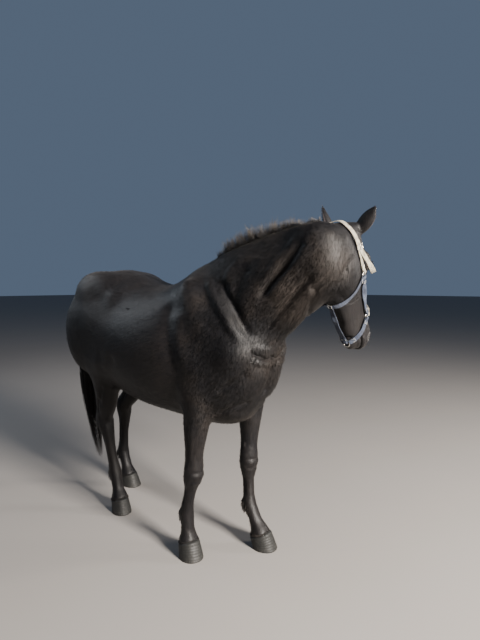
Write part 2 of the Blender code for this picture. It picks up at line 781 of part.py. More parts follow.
# ---------------------------------------------------------------- the halter
def outside(skins, point, clearance):
    """The point, pushed out of the skins so that it clears them, and the first skin's normal there."""
    facing = skins[0].find_nearest(point)[1]
    for skin in skins:
        place_of, normal, _, _ = skin.find_nearest(point)
        if (point - place_of).dot(normal) < clearance:
            point = place_of + normal * clearance
    return point, facing


CORNER_SHARES = ((1, 1, 1, 1), (1, 0, 1, 0), (0, 1, 0, 1), (1, 1, 0, 0), (1, 0, 0, 1), (0, 1, 1, 0))


def lifted(skins, rows, clearance):
    """Rows of points raised until the middle of every face between them clears the skins too."""
    for _ in range(10):
        for near, far in zip(rows, rows[1:]):
            for k in range(len(near) - 1):
                corners = ((near, k), (near, k + 1), (far, k), (far, k + 1))
                for shares in CORNER_SHARES:
                    total = sum(shares)
                    spot = sum((row[i] * share for (row, i), share in zip(corners, shares)), Vector()) / total
                    moved = outside(skins, spot, clearance)[0] - spot
                    if moved.length > 1e-5:
                        for (row, i), share in zip(corners, shares):
                            row[i] = row[i] + moved * (1.3 * share)
    return rows


def strap_path(tree, controls, clearance, pull=8):
    """A line through the control points, drawn tight over the skin."""
    rows = smooth_rows([on_head(*control) for control in controls], STRAP_STEP)
    line = [Vector(row[:3]) for row in rows]
    for _ in range(pull):
        for i in range(1, len(line) - 1):
            line[i] = line[i] * 0.4 + (line[i - 1] + line[i + 1]) * 0.3
        line = [outside(tree, point, clearance)[0] for point in line]
    return line


def trimmed(line, start, end):
    """The line without its first and last few millimetres, in even steps."""
    points = np.array([tuple(p) for p in line])
    along = np.concatenate([[0.0], np.cumsum(np.linalg.norm(np.diff(points, axis=0), axis=1))])
    count = max(3, int(round((along[-1] - start - end) / STRAP_STEP)) + 1)
    wanted = np.linspace(start, along[-1] - end, count)
    return [Vector([float(np.interp(w, along, points[:, i])) for i in range(3)]) for w in wanted]


def ribbon(tree, controls, start=0.0, end=0.0, lift=0.0, pull=8):
    """One strap of webbing along the control points, clear of the skin."""
    clearance = STRAP_CLEARANCE + lift
    line = trimmed(strap_path(tree, controls, clearance, pull), start, end)
    normals = [outside(tree, point, 0.0)[1] for point in line]
    for _ in range(4):
        middle_ones = [(a + b + c).normalized() for a, b, c in zip(normals, normals[1:], normals[2:])]
        normals = [normals[0]] + middle_ones + [normals[-1]]
    rows, outs = [], []
    for i, point in enumerate(line):
        along = (line[min(i + 1, len(line) - 1)] - line[max(i - 1, 0)]).normalized()
        side = along.cross(normals[i]).normalized()
        outs.append(side.cross(along))
        edges = [point + side * (STRAP_WIDTH * share) for share in (-0.5, 0.0, 0.5)]
        rows.append([outside(tree, edge, clearance)[0] for edge in edges])
    rows = lifted(tree, rows, clearance * 0.5)
    made = bmesh.new()
    rings = []
    for inner, out in zip(rows, outs):
        outer = [p + out * STRAP_THICKNESS for p in reversed(inner)]
        rings.append([made.verts.new(p) for p in inner + outer])
    close_rings(made, rings)
    return from_bmesh(made)


def halter_ring(tree, spot, radius=0.0135, wire=0.0028, hanging=None):
    """A metal ring lying on the skin, or hanging in the plane of a given direction."""
    centre, normal = outside(tree, on_head(*spot), STRAP_CLEARANCE + wire)
    axis = hanging if hanging is not None else normal
    lay = Vector((0, 0, 1)).rotation_difference(axis).to_matrix()
    for _ in range(30):
        points = []
        for i in range(10):
            turn = 2 * math.pi * i / 10
            for k in range(4):
                swing = math.pi * (2 * k + 1) / 4
                reach = radius + wire * math.cos(swing)
                spot_of = (reach * math.cos(turn), reach * math.sin(turn), wire * math.sin(swing))
                points.append(Vector(spot_of))
        points = [centre + lay @ p for p in points]
        if all((outside(tree, p, GAP * 2)[0] - p).length < 1e-6 for p in points):
            break
        centre = centre + normal * 0.0006
    made = bmesh.new()
    verts = [made.verts.new(p) for p in points]
    for i in range(10):
        for k in range(4):
            a, b = i * 4, ((i + 1) % 10) * 4
            made.faces.new((verts[a + k], verts[b + k], verts[b + (k + 1) % 4], verts[a + (k + 1) % 4]))
    return from_bmesh(made)


def buckle(tree):
    """The frame of the crown strap's buckle, lying over the webbing on the right cheek."""
    centre, normal = outside(tree, on_head(0.100, -0.086, -0.094), STRAP_CLEARANCE + STRAP_THICKNESS + 0.009)
    down = (on_head(0.16, -0.082, -0.096) - on_head(0.04, -0.075, -0.082)).normalized()
    across = normal.cross(down).normalized()
    down = across.cross(normal)
    made = bmesh.new()
    rings = []
    for x, y in ((-1, -1), (1, -1), (1, 1), (-1, 1)):
        corner = []
        for wide, high in ((0.0, 0.0), (0.004, 0.0), (0.004, 0.003), (0.0, 0.003)):
            spot = centre + across * x * (0.0145 + wide) + down * y * (0.011 + wide) + normal * high
            corner.append(made.verts.new(spot))
        rings.append(corner)
    for i in range(4):
        for k in range(4):
            a, b = rings[i], rings[(i + 1) % 4]
            made.faces.new((a[k], b[k], b[(k + 1) % 4], a[(k + 1) % 4]))
    return from_bmesh(made)


def halter(*skins):
    """Every strap and ring of the halter, by name."""
    tree = [BVHTree.FromPolygons([v.co for v in s.vertices], [p.vertices for p in s.polygons]) for s in skins]
    hang = RING_REACH
    nodes = {}
    for side, sign in (("left", 1), ("right", -1)):
        upper = (UPPER_RING[0], UPPER_RING[1], sign * UPPER_RING[2])
        lower = (LOWER_RING[0], LOWER_RING[1], sign * LOWER_RING[2])
        nodes[f"halter_ring_upper_{side}"] = halter_ring(tree, upper)
        nodes[f"halter_ring_lower_{side}"] = halter_ring(tree, lower)
        cheek = (upper, (0.33, -0.072, sign * 0.080), lower)
        nodes[f"halter_cheek_{side}"] = ribbon(tree, cheek, hang, hang)
        chin = (lower, (0.500, -0.105, sign * 0.062), CHIN_RING)
        nodes[f"halter_chin_{side}"] = ribbon(tree, chin, hang, hang + 0.003)
        over = ((0.165, -0.084, sign * 0.095), (0.10, -0.090, sign * 0.092), (0.04, -0.098, sign * 0.084))
        over += ((0.0, -0.094, sign * 0.052), (-0.016, -0.066, 0.0))
        nodes[f"crown_{side}"] = (upper,) + over
    left, right = nodes.pop("crown_left"), nodes.pop("crown_right")
    nodes["halter_crown"] = ribbon(tree, left + tuple(reversed(right))[1:], hang, hang, 0.0015, 3)
    over_nose = (LOWER_RING, (0.425, -0.012, 0.064), (0.415, 0.022, 0.0), (0.425, -0.012, -0.064))
    over_nose += ((LOWER_RING[0], LOWER_RING[1], -LOWER_RING[2]),)
    nodes["halter_noseband"] = ribbon(tree, over_nose, hang, hang)
    under = ((0.27, -0.150, 0.092), (0.315, -0.225, 0.045), (0.325, -0.245, 0.0), (0.315, -0.225, -0.045))
    under = (UPPER_RING,) + under + ((0.27, -0.150, -0.092), (UPPER_RING[0], UPPER_RING[1], -UPPER_RING[2]))
    nodes["halter_throat"] = ribbon(tree, under, hang + 0.007, hang + 0.007)
    jaw = ((0.328, -0.244, 0.0), (0.44, -0.212, 0.0), CHIN_RING)
    nodes["halter_jaw"] = ribbon(tree, jaw, 0.014, hang + 0.003)
    nodes["halter_ring_chin"] = halter_ring(tree, CHIN_RING, 0.016, 0.003)
    nodes["halter_buckle"] = buckle(tree)
    over = STRAP_THICKNESS + 0.008
    loose_end = ((0.125, -0.078, -0.099), (0.15, -0.066, -0.106))
    loose_end += ((0.195, -0.054, -0.116), (0.230, -0.046, -0.124))
    nodes["halter_strap_end"] = ribbon(tree, loose_end, 0.0, 0.0, over)
    return nodes


# ---------------------------------------------------------------- putting it together
def body_nodes(coarse, middling, fine):
    """The flesh, parted by thin cuts into trunk, neck, head and legs."""
    level = Vector((0, 0, LEG_CUT))
    upper = clipped(coarse, level + Vector((0, 0, GAP / 2)), Vector((0, 0, 1)))
    lower = clipped(middling, level - Vector((0, 0, GAP / 2)), Vector((0, 0, -1)))
    across = place(NECK_CUT[2], 0, NECK_CUT[3]).normalized()
    point = place(NECK_CUT[0], 0, NECK_CUT[1])
    trunk = clipped(upper, point - across * GAP / 2, -across)
    front = clipped(upper, point + across * GAP / 2, across)
    neck = biggest(cut(front, head_region(GAP * 2), "DIFFERENCE"))
    head = biggest(cut(fine, head_region(0.0), "INTERSECT"))
    for side in (-1, 1):
        head = cut(head, eye_ball(side, EYE_RADIUS + GAP), "DIFFERENCE")
    nodes = {"trunk": biggest(trunk), "neck": neck, "head": biggest(head)}
    for part in loose_parts(lower):
        place_of = middle(part)
        legs, name = (FORELEGS, "foreleg") if place_of.y < 0 else (HINDLEGS, "hindleg")
        side = "left" if place_of.x > 0 else "right"
        origin, normal, _ = coronet_plane(legs[side])
        nodes[f"{name}_{side}"] = biggest(clipped(part, origin + normal * GAP, normal))
    return nodes


FINISHES = (
    # start of the name, base colour, roughness, metallic
    ("halter_ring", (0.62, 0.62, 0.60), 0.30, 1.0),
    ("halter_buckle", (0.62, 0.62, 0.60), 0.30, 1.0),
    ("halter_jaw", (0.16, 0.20, 0.27), 0.85, 0.0),
    ("halter_chin", (0.22, 0.26, 0.32), 0.85, 0.0),
    ("halter", (0.62, 0.60, 0.52), 0.85, 0.0),
    ("eye", (0.020, 0.012, 0.008), 0.05, 0.0),
    ("forehoof", (0.060, 0.058, 0.050), 0.55, 0.0),
    ("hindhoof", (0.060, 0.058, 0.050), 0.55, 0.0),
    ("mane", (0.020, 0.016, 0.014), 0.60, 0.0),
    ("tail", (0.014, 0.012, 0.011), 0.60, 0.0),
    ("", (0.022, 0.018, 0.016), 0.50, 0.0),
)


def finish(name):
    """The material of one named piece."""
    colour, rough, metal = next(row[1:] for row in FINISHES if name.startswith(row[0]))
    made = bpy.data.materials.new(name + "_finish")
    made.use_nodes = True
    shader = made.node_tree.nodes["Principled BSDF"]
    shader.inputs["Base Color"].default_value = (*colour, 1.0)
    shader.inputs["Roughness"].default_value = rough
    shader.inputs["Metallic"].default_value = metal
    return made


def main():
    for old in list(bpy.data.objects):
        bpy.data.objects.remove(old)
    whole = flesh()
    coarse, middling, fine = (thinned(whole, faces) for faces in FLESH_FACES)
    nodes = body_nodes(coarse, middling, fine)
    shell, fine_shell = grown(coarse, GAP * 8), grown(fine, GAP * 4)
    for side, sign in (("left", 1), ("right", -1)):
        nodes[f"forehoof_{side}"] = hoof(FORELEGS[side], 0.066, 0.060)
        nodes[f"hindhoof_{side}"] = hoof(HINDLEGS[side], 0.065, 0.056)
        nodes[f"eye_{side}"] = eye_ball(sign, EYE_RADIUS)
        nodes[f"ear_{side}"] = ear(sign, fine_shell)
    nodes.update(halter(fine, coarse))
    nodes["mane"] = mane(shell)
    nodes["tail"] = tail(shell)
    points = np.array([v.co for mesh in nodes.values() for v in mesh.vertices])
    low, high = points.min(axis=0), points.max(axis=0)
    shift = Vector((-(low[0] + high[0]) / 2, -(low[1] + high[1]) / 2, -low[2]))
    home = bpy.data.collections.new("horse")
    bpy.context.scene.collection.children.link(home)
    for name, mesh in nodes.items():
        mesh.transform(Matrix.Translation(shift))
        mesh.name = name
        made = bpy.data.objects.new(name, mesh)
        made.data.materials.clear()
        made.data.materials.append(finish(name))
        home.objects.link(made)


main()
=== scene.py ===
"""Looks for the standing horse: skin, coat, mane, tail, eyes, hooves and halter over the fixed solids."""

from __future__ import annotations

import json
import logging
import math
from dataclasses import dataclass
from enum import Enum
from typing import Callable, Iterable, Sequence

import bmesh
import bpy
import numpy as np
from mathutils import Matrix, Vector, noise
from mathutils.bvhtree import BVHTree

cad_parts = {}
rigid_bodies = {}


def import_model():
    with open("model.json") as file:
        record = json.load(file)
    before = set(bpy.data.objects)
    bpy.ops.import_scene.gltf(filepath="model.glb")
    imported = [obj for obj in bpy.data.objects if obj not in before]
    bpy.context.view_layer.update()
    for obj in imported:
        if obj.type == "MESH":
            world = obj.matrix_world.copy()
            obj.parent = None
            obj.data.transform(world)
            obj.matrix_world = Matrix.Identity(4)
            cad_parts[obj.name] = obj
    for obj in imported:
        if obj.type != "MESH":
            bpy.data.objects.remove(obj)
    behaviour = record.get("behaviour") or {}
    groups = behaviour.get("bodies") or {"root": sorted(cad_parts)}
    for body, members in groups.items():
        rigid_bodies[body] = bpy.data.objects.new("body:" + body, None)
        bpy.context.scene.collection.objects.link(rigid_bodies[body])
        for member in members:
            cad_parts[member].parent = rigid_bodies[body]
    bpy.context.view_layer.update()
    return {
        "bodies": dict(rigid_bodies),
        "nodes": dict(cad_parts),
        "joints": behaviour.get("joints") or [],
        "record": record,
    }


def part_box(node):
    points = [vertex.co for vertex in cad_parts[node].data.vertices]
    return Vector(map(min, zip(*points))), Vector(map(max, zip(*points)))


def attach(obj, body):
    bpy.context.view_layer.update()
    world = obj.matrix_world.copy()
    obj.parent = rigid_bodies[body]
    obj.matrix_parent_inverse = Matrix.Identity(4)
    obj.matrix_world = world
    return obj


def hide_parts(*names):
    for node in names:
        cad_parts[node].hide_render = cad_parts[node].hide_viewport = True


log = logging.getLogger("standing_horse")

Point = tuple[float, float, float]
Socket = bpy.types.NodeSocket
BODY = "root"
BAKE_MAP = "OFBake"
SKIN_MAP = "SkinMap"
PATCH = 0.003

# The poll and the joints of the legs, as (ahead, left, up) in the horse's own frame.
POLL: Point = (1.005, 0.200, 1.660)
HEAD_YAW = math.radians(96)
NOSE_FORWARD = math.radians(21.5)
HEAD_ROLL = math.radians(3)
EYE_SEAT: Point = (0.205, -0.024, 0.083)
DOWN = np.array([0.0, 0.0, -1.0])
EYE_RADIUS = 0.021


class Side(Enum):
    """A side of the horse, as the sign of its left axis."""

    LEFT = 1
    RIGHT = -1

    @property
    def word(self) -> str:
        """The side's name in a node's name."""
        return self.name.lower()


class Region(Enum):
    """A stretch of coat that is made as one piece."""

    BARREL = 0
    QUARTERS = 1
    SHOULDER = 2
    NECK = 3
    HEAD = 4
    LEGS = 5


@dataclass(frozen=True)
class Leg:
    """One leg's joints, from the elbow or hip down, and how far its toe turns out, in degrees."""

    name: str
    hoof_name: str
    side: Side
    fore: bool
    upper: Point
    middle: Point
    fetlock: Point
    hoof: Point
    toe_out: float


LEGS = (
    Leg("foreleg_right", "forehoof_right", Side.RIGHT, True,
        (0.435, -0.172, 0.86), (0.385, -0.160, 0.430), (0.325, -0.150, 0.215), (0.362, -0.158, 0.0), -16),
    Leg("foreleg_left", "forehoof_left", Side.LEFT, True,
        (0.475, 0.172, 0.86), (0.468, 0.162, 0.430), (0.487, 0.150, 0.210), (0.582, 0.160, 0.0), 12),
    Leg("hindleg_right", "hindhoof_right", Side.RIGHT, False,
        (-0.27, -0.185, 0.93), (-0.44, -0.13, 0.555), (-0.385, -0.10, 0.215), (-0.315, -0.11, 0.0), -12),
    Leg("hindleg_left", "hindhoof_left", Side.LEFT, False,
        (-0.33, 0.185, 0.93), (-0.64, 0.15, 0.555), (-0.675, 0.155, 0.215), (-0.60, 0.165, 0.0), 12),
)
FLESH = ("trunk", "neck", "head", "ear_left", "ear_right") + tuple(leg.name for leg in LEGS)


# ---------------------------------------------------------------- small tools
def smooth(values: np.ndarray | float, low: float, high: float) -> np.ndarray:
    """A smooth step from 0 at low to 1 at high.

    Args:
        values: Numbers to grade.
        low: Where the step starts.
        high: Where it ends; it may be under low.

    Returns:
        The graded numbers, from 0 to 1.
    """
    share = np.clip((np.asarray(values, float) - low) / (high - low), 0.0, 1.0)
    return share * share * (3.0 - 2.0 * share)


def unit(rows: np.ndarray) -> np.ndarray:
    """Rows of vectors, each made one long."""
    return rows / np.maximum(np.linalg.norm(rows, axis=-1, keepdims=True), 1e-9)


def curve_through(points: Sequence[Sequence[float]], step: float) -> np.ndarray:
    """Points in even steps along a smooth curve through the given ones.

    Args:
        points: The points to pass through; any further columns are eased the same way.
        step: The distance between the points returned, in metres.

    Returns:
        An array of rows.
    """
    given = np.asarray(points, float)
    along = np.concatenate([[0.0], np.cumsum(np.linalg.norm(np.diff(given[:, :3], axis=0), axis=1))])
    slopes = np.gradient(given, along, axis=0)
    count = max(2, int(round(along[-1] / step)) + 1)
    wanted = np.linspace(0.0, along[-1], count)
    index = np.clip(np.searchsorted(along, wanted, side="right") - 1, 0, len(along) - 2)
    span = (along[index + 1] - along[index])[:, None]
    t = (wanted - along[index])[:, None] / span
    a, b = given[index], given[index + 1]
    ma, mb = slopes[index] * span, slopes[index + 1] * span
    return (
        (2 * t**3 - 3 * t**2 + 1) * a + (t**3 - 2 * t**2 + t) * ma + (3 * t**2 - 2 * t**3) * b
        + (t**3 - t**2) * mb
    )


def coordinates(mesh: bpy.types.Mesh) -> np.ndarray:
    """A mesh's points as rows."""
    flat = np.empty(len(mesh.vertices) * 3, np.float32)
    mesh.vertices.foreach_get("co", flat)
    return flat.reshape(-1, 3).astype(float)


def put_coordinates(mesh: bpy.types.Mesh, points: np.ndarray) -> None:
    """Moves a mesh's points to these rows."""
    mesh.vertices.foreach_set("co", points.astype(np.float32).ravel())
    mesh.update()


def normals_of(mesh: bpy.types.Mesh) -> np.ndarray:
    """A mesh's normals at its points, as rows."""
    flat = np.empty(len(mesh.vertices) * 3, np.float32)
    mesh.vertex_normals.foreach_get("vector", flat)
    return flat.reshape(-1, 3).astype(float)


def distances(line: np.ndarray) -> np.ndarray:
    """How far along a line each of its points lies."""
    return np.concatenate([[0.0], np.cumsum(np.linalg.norm(np.diff(line, axis=0), axis=1))])


def row_at(place: float, places: np.ndarray, rows: np.ndarray) -> np.ndarray:
    """The row at a place, between the rows at given places."""
    return np.array([np.interp(place, places, column) for column in rows.T])


def corners_of(mesh: bpy.types.Mesh) -> np.ndarray:
    """The point at each face corner of a mesh."""
    corners = np.empty(len(mesh.loops), np.int32)
    mesh.loops.foreach_get("vertex_index", corners)
    return corners


def new_object(name: str, points: Iterable, faces: Iterable) -> bpy.types.Object:
    """A mesh object from points and faces, shaded smooth and linked to the scene."""
    mesh = bpy.data.meshes.new(name)
    mesh.from_pydata([tuple(p) for p in points], [], [tuple(f) for f in faces])
    mesh.update()
    return add_object(name, mesh)


def add_object(name: str, mesh: bpy.types.Mesh) -> bpy.types.Object:
    """An object for a mesh, shaded smooth and linked to the scene."""
    mesh.name = name
    if mesh.polygons:
        mesh.polygons.foreach_set("use_smooth", [True] * len(mesh.polygons))
    made = bpy.data.objects.new(name, mesh)
    bpy.context.scene.collection.objects.link(made)
    return made


def settled(obj: bpy.types.Object) -> bpy.types.Mesh:
    """The mesh that an object's modifiers make of it; the modifiers are then removed."""
    graph = bpy.context.evaluated_depsgraph_get()
    mesh = bpy.data.meshes.new_from_object(obj.evaluated_get(graph), depsgraph=graph)
    obj.modifiers.clear()
    return mesh


def discard(*objects: bpy.types.Object) -> None:
    """Removes helper objects with their meshes."""
    for obj in objects:
        mesh = obj.data
        bpy.data.objects.remove(obj)
        if mesh is not None and mesh.users == 0:
            bpy.data.meshes.remove(mesh)


def store(mesh: bpy.types.Mesh, name: str, values: np.ndarray) -> None:
    """Stores a number or a vector for each point of a mesh as an attribute.

    Args:
        mesh: The mesh.
        name: The attribute's name.
        values: One row or number for each point.
    """
    values = np.asarray(values, np.float32)
    if values.ndim == 1:
        mesh.attributes.new(name, "FLOAT", "POINT").data.foreach_set("value", values)
    else:
        mesh.attributes.new(name, "FLOAT_VECTOR", "POINT").data.foreach_set("vector", values.ravel())


def store_map(mesh: bpy.types.Mesh, name: str, rows: np.ndarray) -> None:
    """Stores a UV map with one row for each face corner."""
    layer = mesh.uv_layers.new(name=name)
    layer.data.foreach_set("uv", rows.astype(np.float32).ravel())


def lofted(rings: Sequence[Sequence[Sequence[float]]], closed: bool = False) -> tuple[list, list]:
    """Points and faces of a tube through rings of points.

    Args:
        rings: Rings with the same number of points.
        closed: Whether the last ring joins the first. An open tube gets a cap at each end.

    Returns:
        The points and the faces.
    """
    count = len(rings[0])
    points = [tuple(p) for ring in rings for p in ring]
    faces = []
    pairs = list(range(len(rings) if closed else len(rings) - 1))
    for j in pairs:
        low, high = j * count, ((j + 1) % len(rings)) * count
        faces += [(low + i, low + (i + 1) % count, high + (i + 1) % count, high + i) for i in range(count)]
    if not closed:
        faces.append(tuple(reversed(range(count))))
        faces.append(tuple(range(len(points) - count, len(points))))
    return points, faces


def facing_out(obj: bpy.types.Object) -> bpy.types.Object:
    """The same object with its faces turned outwards."""
    made = bmesh.new()
    made.from_mesh(obj.data)
    bmesh.ops.recalc_face_normals(made, faces=made.faces)
    made.to_mesh(obj.data)
    made.free()
    return obj


def ride_as(obj: bpy.types.Object, slot: str, *nodes: str) -> None:
    """Makes a finished piece ride on the body and stand for its nodes."""
    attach(obj, BODY)
    if nodes:
        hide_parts(*nodes)
    log.info("%s: %d faces", obj.name, len(obj.data.polygons))


# ---------------------------------------------------------------- frames of reference
class Stance:
    """The horse's own frames: the body's, and the one that follows its turned head."""

    def __init__(self) -> None:
        """Finds where the fixed solids stand from the left eye's box."""
        facing = Vector((math.sin(HEAD_YAW), -math.cos(HEAD_YAW), 0.0))
        down = Vector((0.0, 0.0, -math.cos(NOSE_FORWARD))) + facing * math.sin(NOSE_FORWARD)
        left = facing.cross(down).normalized()
        face = down.cross(left).normalized()
        turn = Matrix((left, face, -down)).transposed().to_4x4()
        poll = Vector((POLL[1], -POLL[0], POLL[2]))
        head = Matrix.Translation(poll) @ turn @ Matrix.Rotation(HEAD_ROLL, 4, "Z")
        low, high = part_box("eye_left")
        seat = head @ Vector((EYE_SEAT[2], EYE_SEAT[1], -EYE_SEAT[0]))
        self.shift: Vector = (low + high) / 2 - seat
        self.head: Matrix = Matrix.Translation(self.shift) @ head
        self.turn: np.ndarray = np.array(self.head.to_3x3())
        self.start: np.ndarray = np.array(self.head.translation)

    def body_spots(self, rows: Sequence[Point], sign: float = 1.0) -> np.ndarray:
        """World points of (ahead, left, up) rows, or of their mirror images where the sign is -1."""
        rows = np.asarray(rows, float).reshape(-1, 3)
        return np.stack([rows[:, 1] * sign, -rows[:, 0], rows[:, 2]], 1) + np.array(self.shift)

    def head_spots(self, rows: Sequence[Point], sign: float = 1.0) -> np.ndarray:
        """World points of (down, face, left) rows, or of their mirror images where the sign is -1."""
        rows = np.asarray(rows, float).reshape(-1, 3)
        return np.stack([rows[:, 2] * sign, rows[:, 1], -rows[:, 0]], 1) @ self.turn.T + self.start

    def to_body(self, points: np.ndarray) -> np.ndarray:
        """(ahead, left, up) rows of world points."""
        moved = points - np.array(self.shift)
        return np.stack([-moved[:, 1], moved[:, 0], moved[:, 2]], 1)

    def to_head(self, points: np.ndarray) -> np.ndarray:
        """(down, face, left) rows of world points."""
        local = (points - self.start) @ self.turn
        return np.stack([-local[:, 2], local[:, 1], local[:, 0]], 1)

    def head_share(self, points: np.ndarray) -> np.ndarray:
        """How far each world point belongs to the head, from 0 to 1."""
        down, face, left = self.to_head(points).T
        deep = np.maximum(smooth(face, -0.22, -0.12), smooth(down, 0.20, 0.30))
        inside = smooth(np.abs(left), 0.17, 0.13) * smooth(down, -0.09, -0.03) * smooth(face, -0.34, -0.28)
        return deep * inside


# ---------------------------------------------------------------- modelling the skin
@dataclass(frozen=True)
class Fold:
    """A long form raised from the skin along a line, or pressed into it where its height is negative."""

    line: tuple[Point, ...]
    width: float
    height: float
    paired: bool = True


@dataclass(frozen=True)
class Swell:
    """A round form raised from the skin, or a hollow where its height is negative."""

    centre: Point
    radii: Point
    height: float
    paired: bool = True


# (down, face, left) on the head
HEAD_FOLDS = (
    Fold(((0.232, -0.058, 0.072), (0.290, -0.062, 0.072), (0.350, -0.062, 0.066)), 0.0085, 0.0036),
    Fold(((0.240, -0.078, 0.078), (0.300, -0.082, 0.076), (0.360, -0.080, 0.068)), 0.011, -0.0026),
    Fold(((0.168, -0.048, 0.086), (0.125, -0.066, 0.088), (0.080, -0.080, 0.082)), 0.010, 0.0030),
    Fold(((0.250, 0.022, 0.040), (0.340, 0.012, 0.034), (0.450, 0.006, 0.028)), 0.008, 0.0016),
    Fold(((0.300, -0.010, 0.058), (0.390, -0.018, 0.054), (0.490, -0.026, 0.048)), 0.012, -0.0030),
    Fold(((0.350, -0.075, 0.066), (0.430, -0.070, 0.060), (0.505, -0.050, 0.058)), 0.010, 0.0018),
    Fold(((0.125, -0.118, 0.090), (0.160, -0.215, 0.070), (0.235, -0.258, 0.050)), 0.016, -0.0030),
    Fold(((0.260, -0.240, 0.050), (0.330, -0.190, 0.062), (0.345, -0.120, 0.070)), 0.009, -0.0024),
    Fold(((0.330, -0.205, 0.050), (0.345, -0.140, 0.066), (0.335, -0.090, 0.074),
          (0.300, -0.030, 0.068)), 0.0045, 0.0014),
    Fold(((0.250, -0.175, 0.080), (0.300, -0.130, 0.080), (0.335, -0.100, 0.074)), 0.0040, 0.0010),
    Fold(((0.500, -0.086, 0.060), (0.493, -0.100, 0.059), (0.498, -0.116, 0.055)), 0.0034, -0.0016),
    Fold(((0.489, -0.084, 0.061), (0.481, -0.100, 0.060), (0.487, -0.118, 0.055)), 0.0030, -0.0010),
    Fold(((0.524, -0.010, 0.040), (0.517, -0.026, 0.052), (0.520, -0.046, 0.057)), 0.0040, -0.0016),
    Fold(((0.512, -0.006, 0.036), (0.504, -0.026, 0.050), (0.506, -0.048, 0.057)), 0.0040, -0.0012),
)
MOUTH_FOLDS = (
    Fold(((0.606, -0.074, -0.014), (0.606, -0.074, 0.0), (0.594, -0.078, 0.032), (0.562, -0.082, 0.052),
          (0.522, -0.086, 0.060)), 0.0080, 0.0042),
    Fold(((0.598, -0.108, -0.014), (0.598, -0.108, 0.0), (0.586, -0.112, 0.028), (0.556, -0.117, 0.044),
          (0.524, -0.116, 0.053)), 0.0080, 0.0040),
    Fold(((0.606, -0.091, -0.020), (0.609, -0.090, 0.0), (0.598, -0.094, 0.026), (0.570, -0.099, 0.046),
          (0.535, -0.102, 0.055), (0.500, -0.098, 0.059)), 0.0046, -0.0125),
)
HEAD_MIDDLE_FOLDS = (
    Fold(((0.590, -0.012, 0.0), (0.606, -0.040, 0.0), (0.611, -0.072, 0.0)), 0.0042, -0.0022, False),
    Fold(((0.290, -0.243, 0.0), (0.370, -0.210, 0.0), (0.460, -0.176, 0.0)), 0.017, -0.0090, False),
    Fold(((0.522, -0.150, 0.036), (0.512, -0.160, 0.0), (0.522, -0.150, -0.036)), 0.0100, -0.0070, False),
    Fold(((0.050, -0.006, 0.0), (0.110, 0.017, 0.0), (0.150, 0.028, 0.0)), 0.012, 0.0020, False),
)
HEAD_SWELLS = (
    Swell((0.140, -0.004, 0.066), (0.022, 0.018, 0.022), -0.0060),
    Swell((0.172, 0.004, 0.074), (0.026, 0.015, 0.020), 0.0032),
    Swell((0.215, -0.140, 0.090), (0.070, 0.060, 0.040), 0.0040),
    Swell((0.585, -0.055, 0.024), (0.020, 0.026, 0.018), 0.0030),
    Swell((0.440, -0.120, 0.060), (0.050, 0.030, 0.030), -0.0025),
    Swell((0.568, -0.138, 0.0), (0.026, 0.020, 0.034), 0.0050, False),
    Swell((0.600, -0.060, 0.0), (0.022, 0.022, 0.026), 0.0030, False),
)
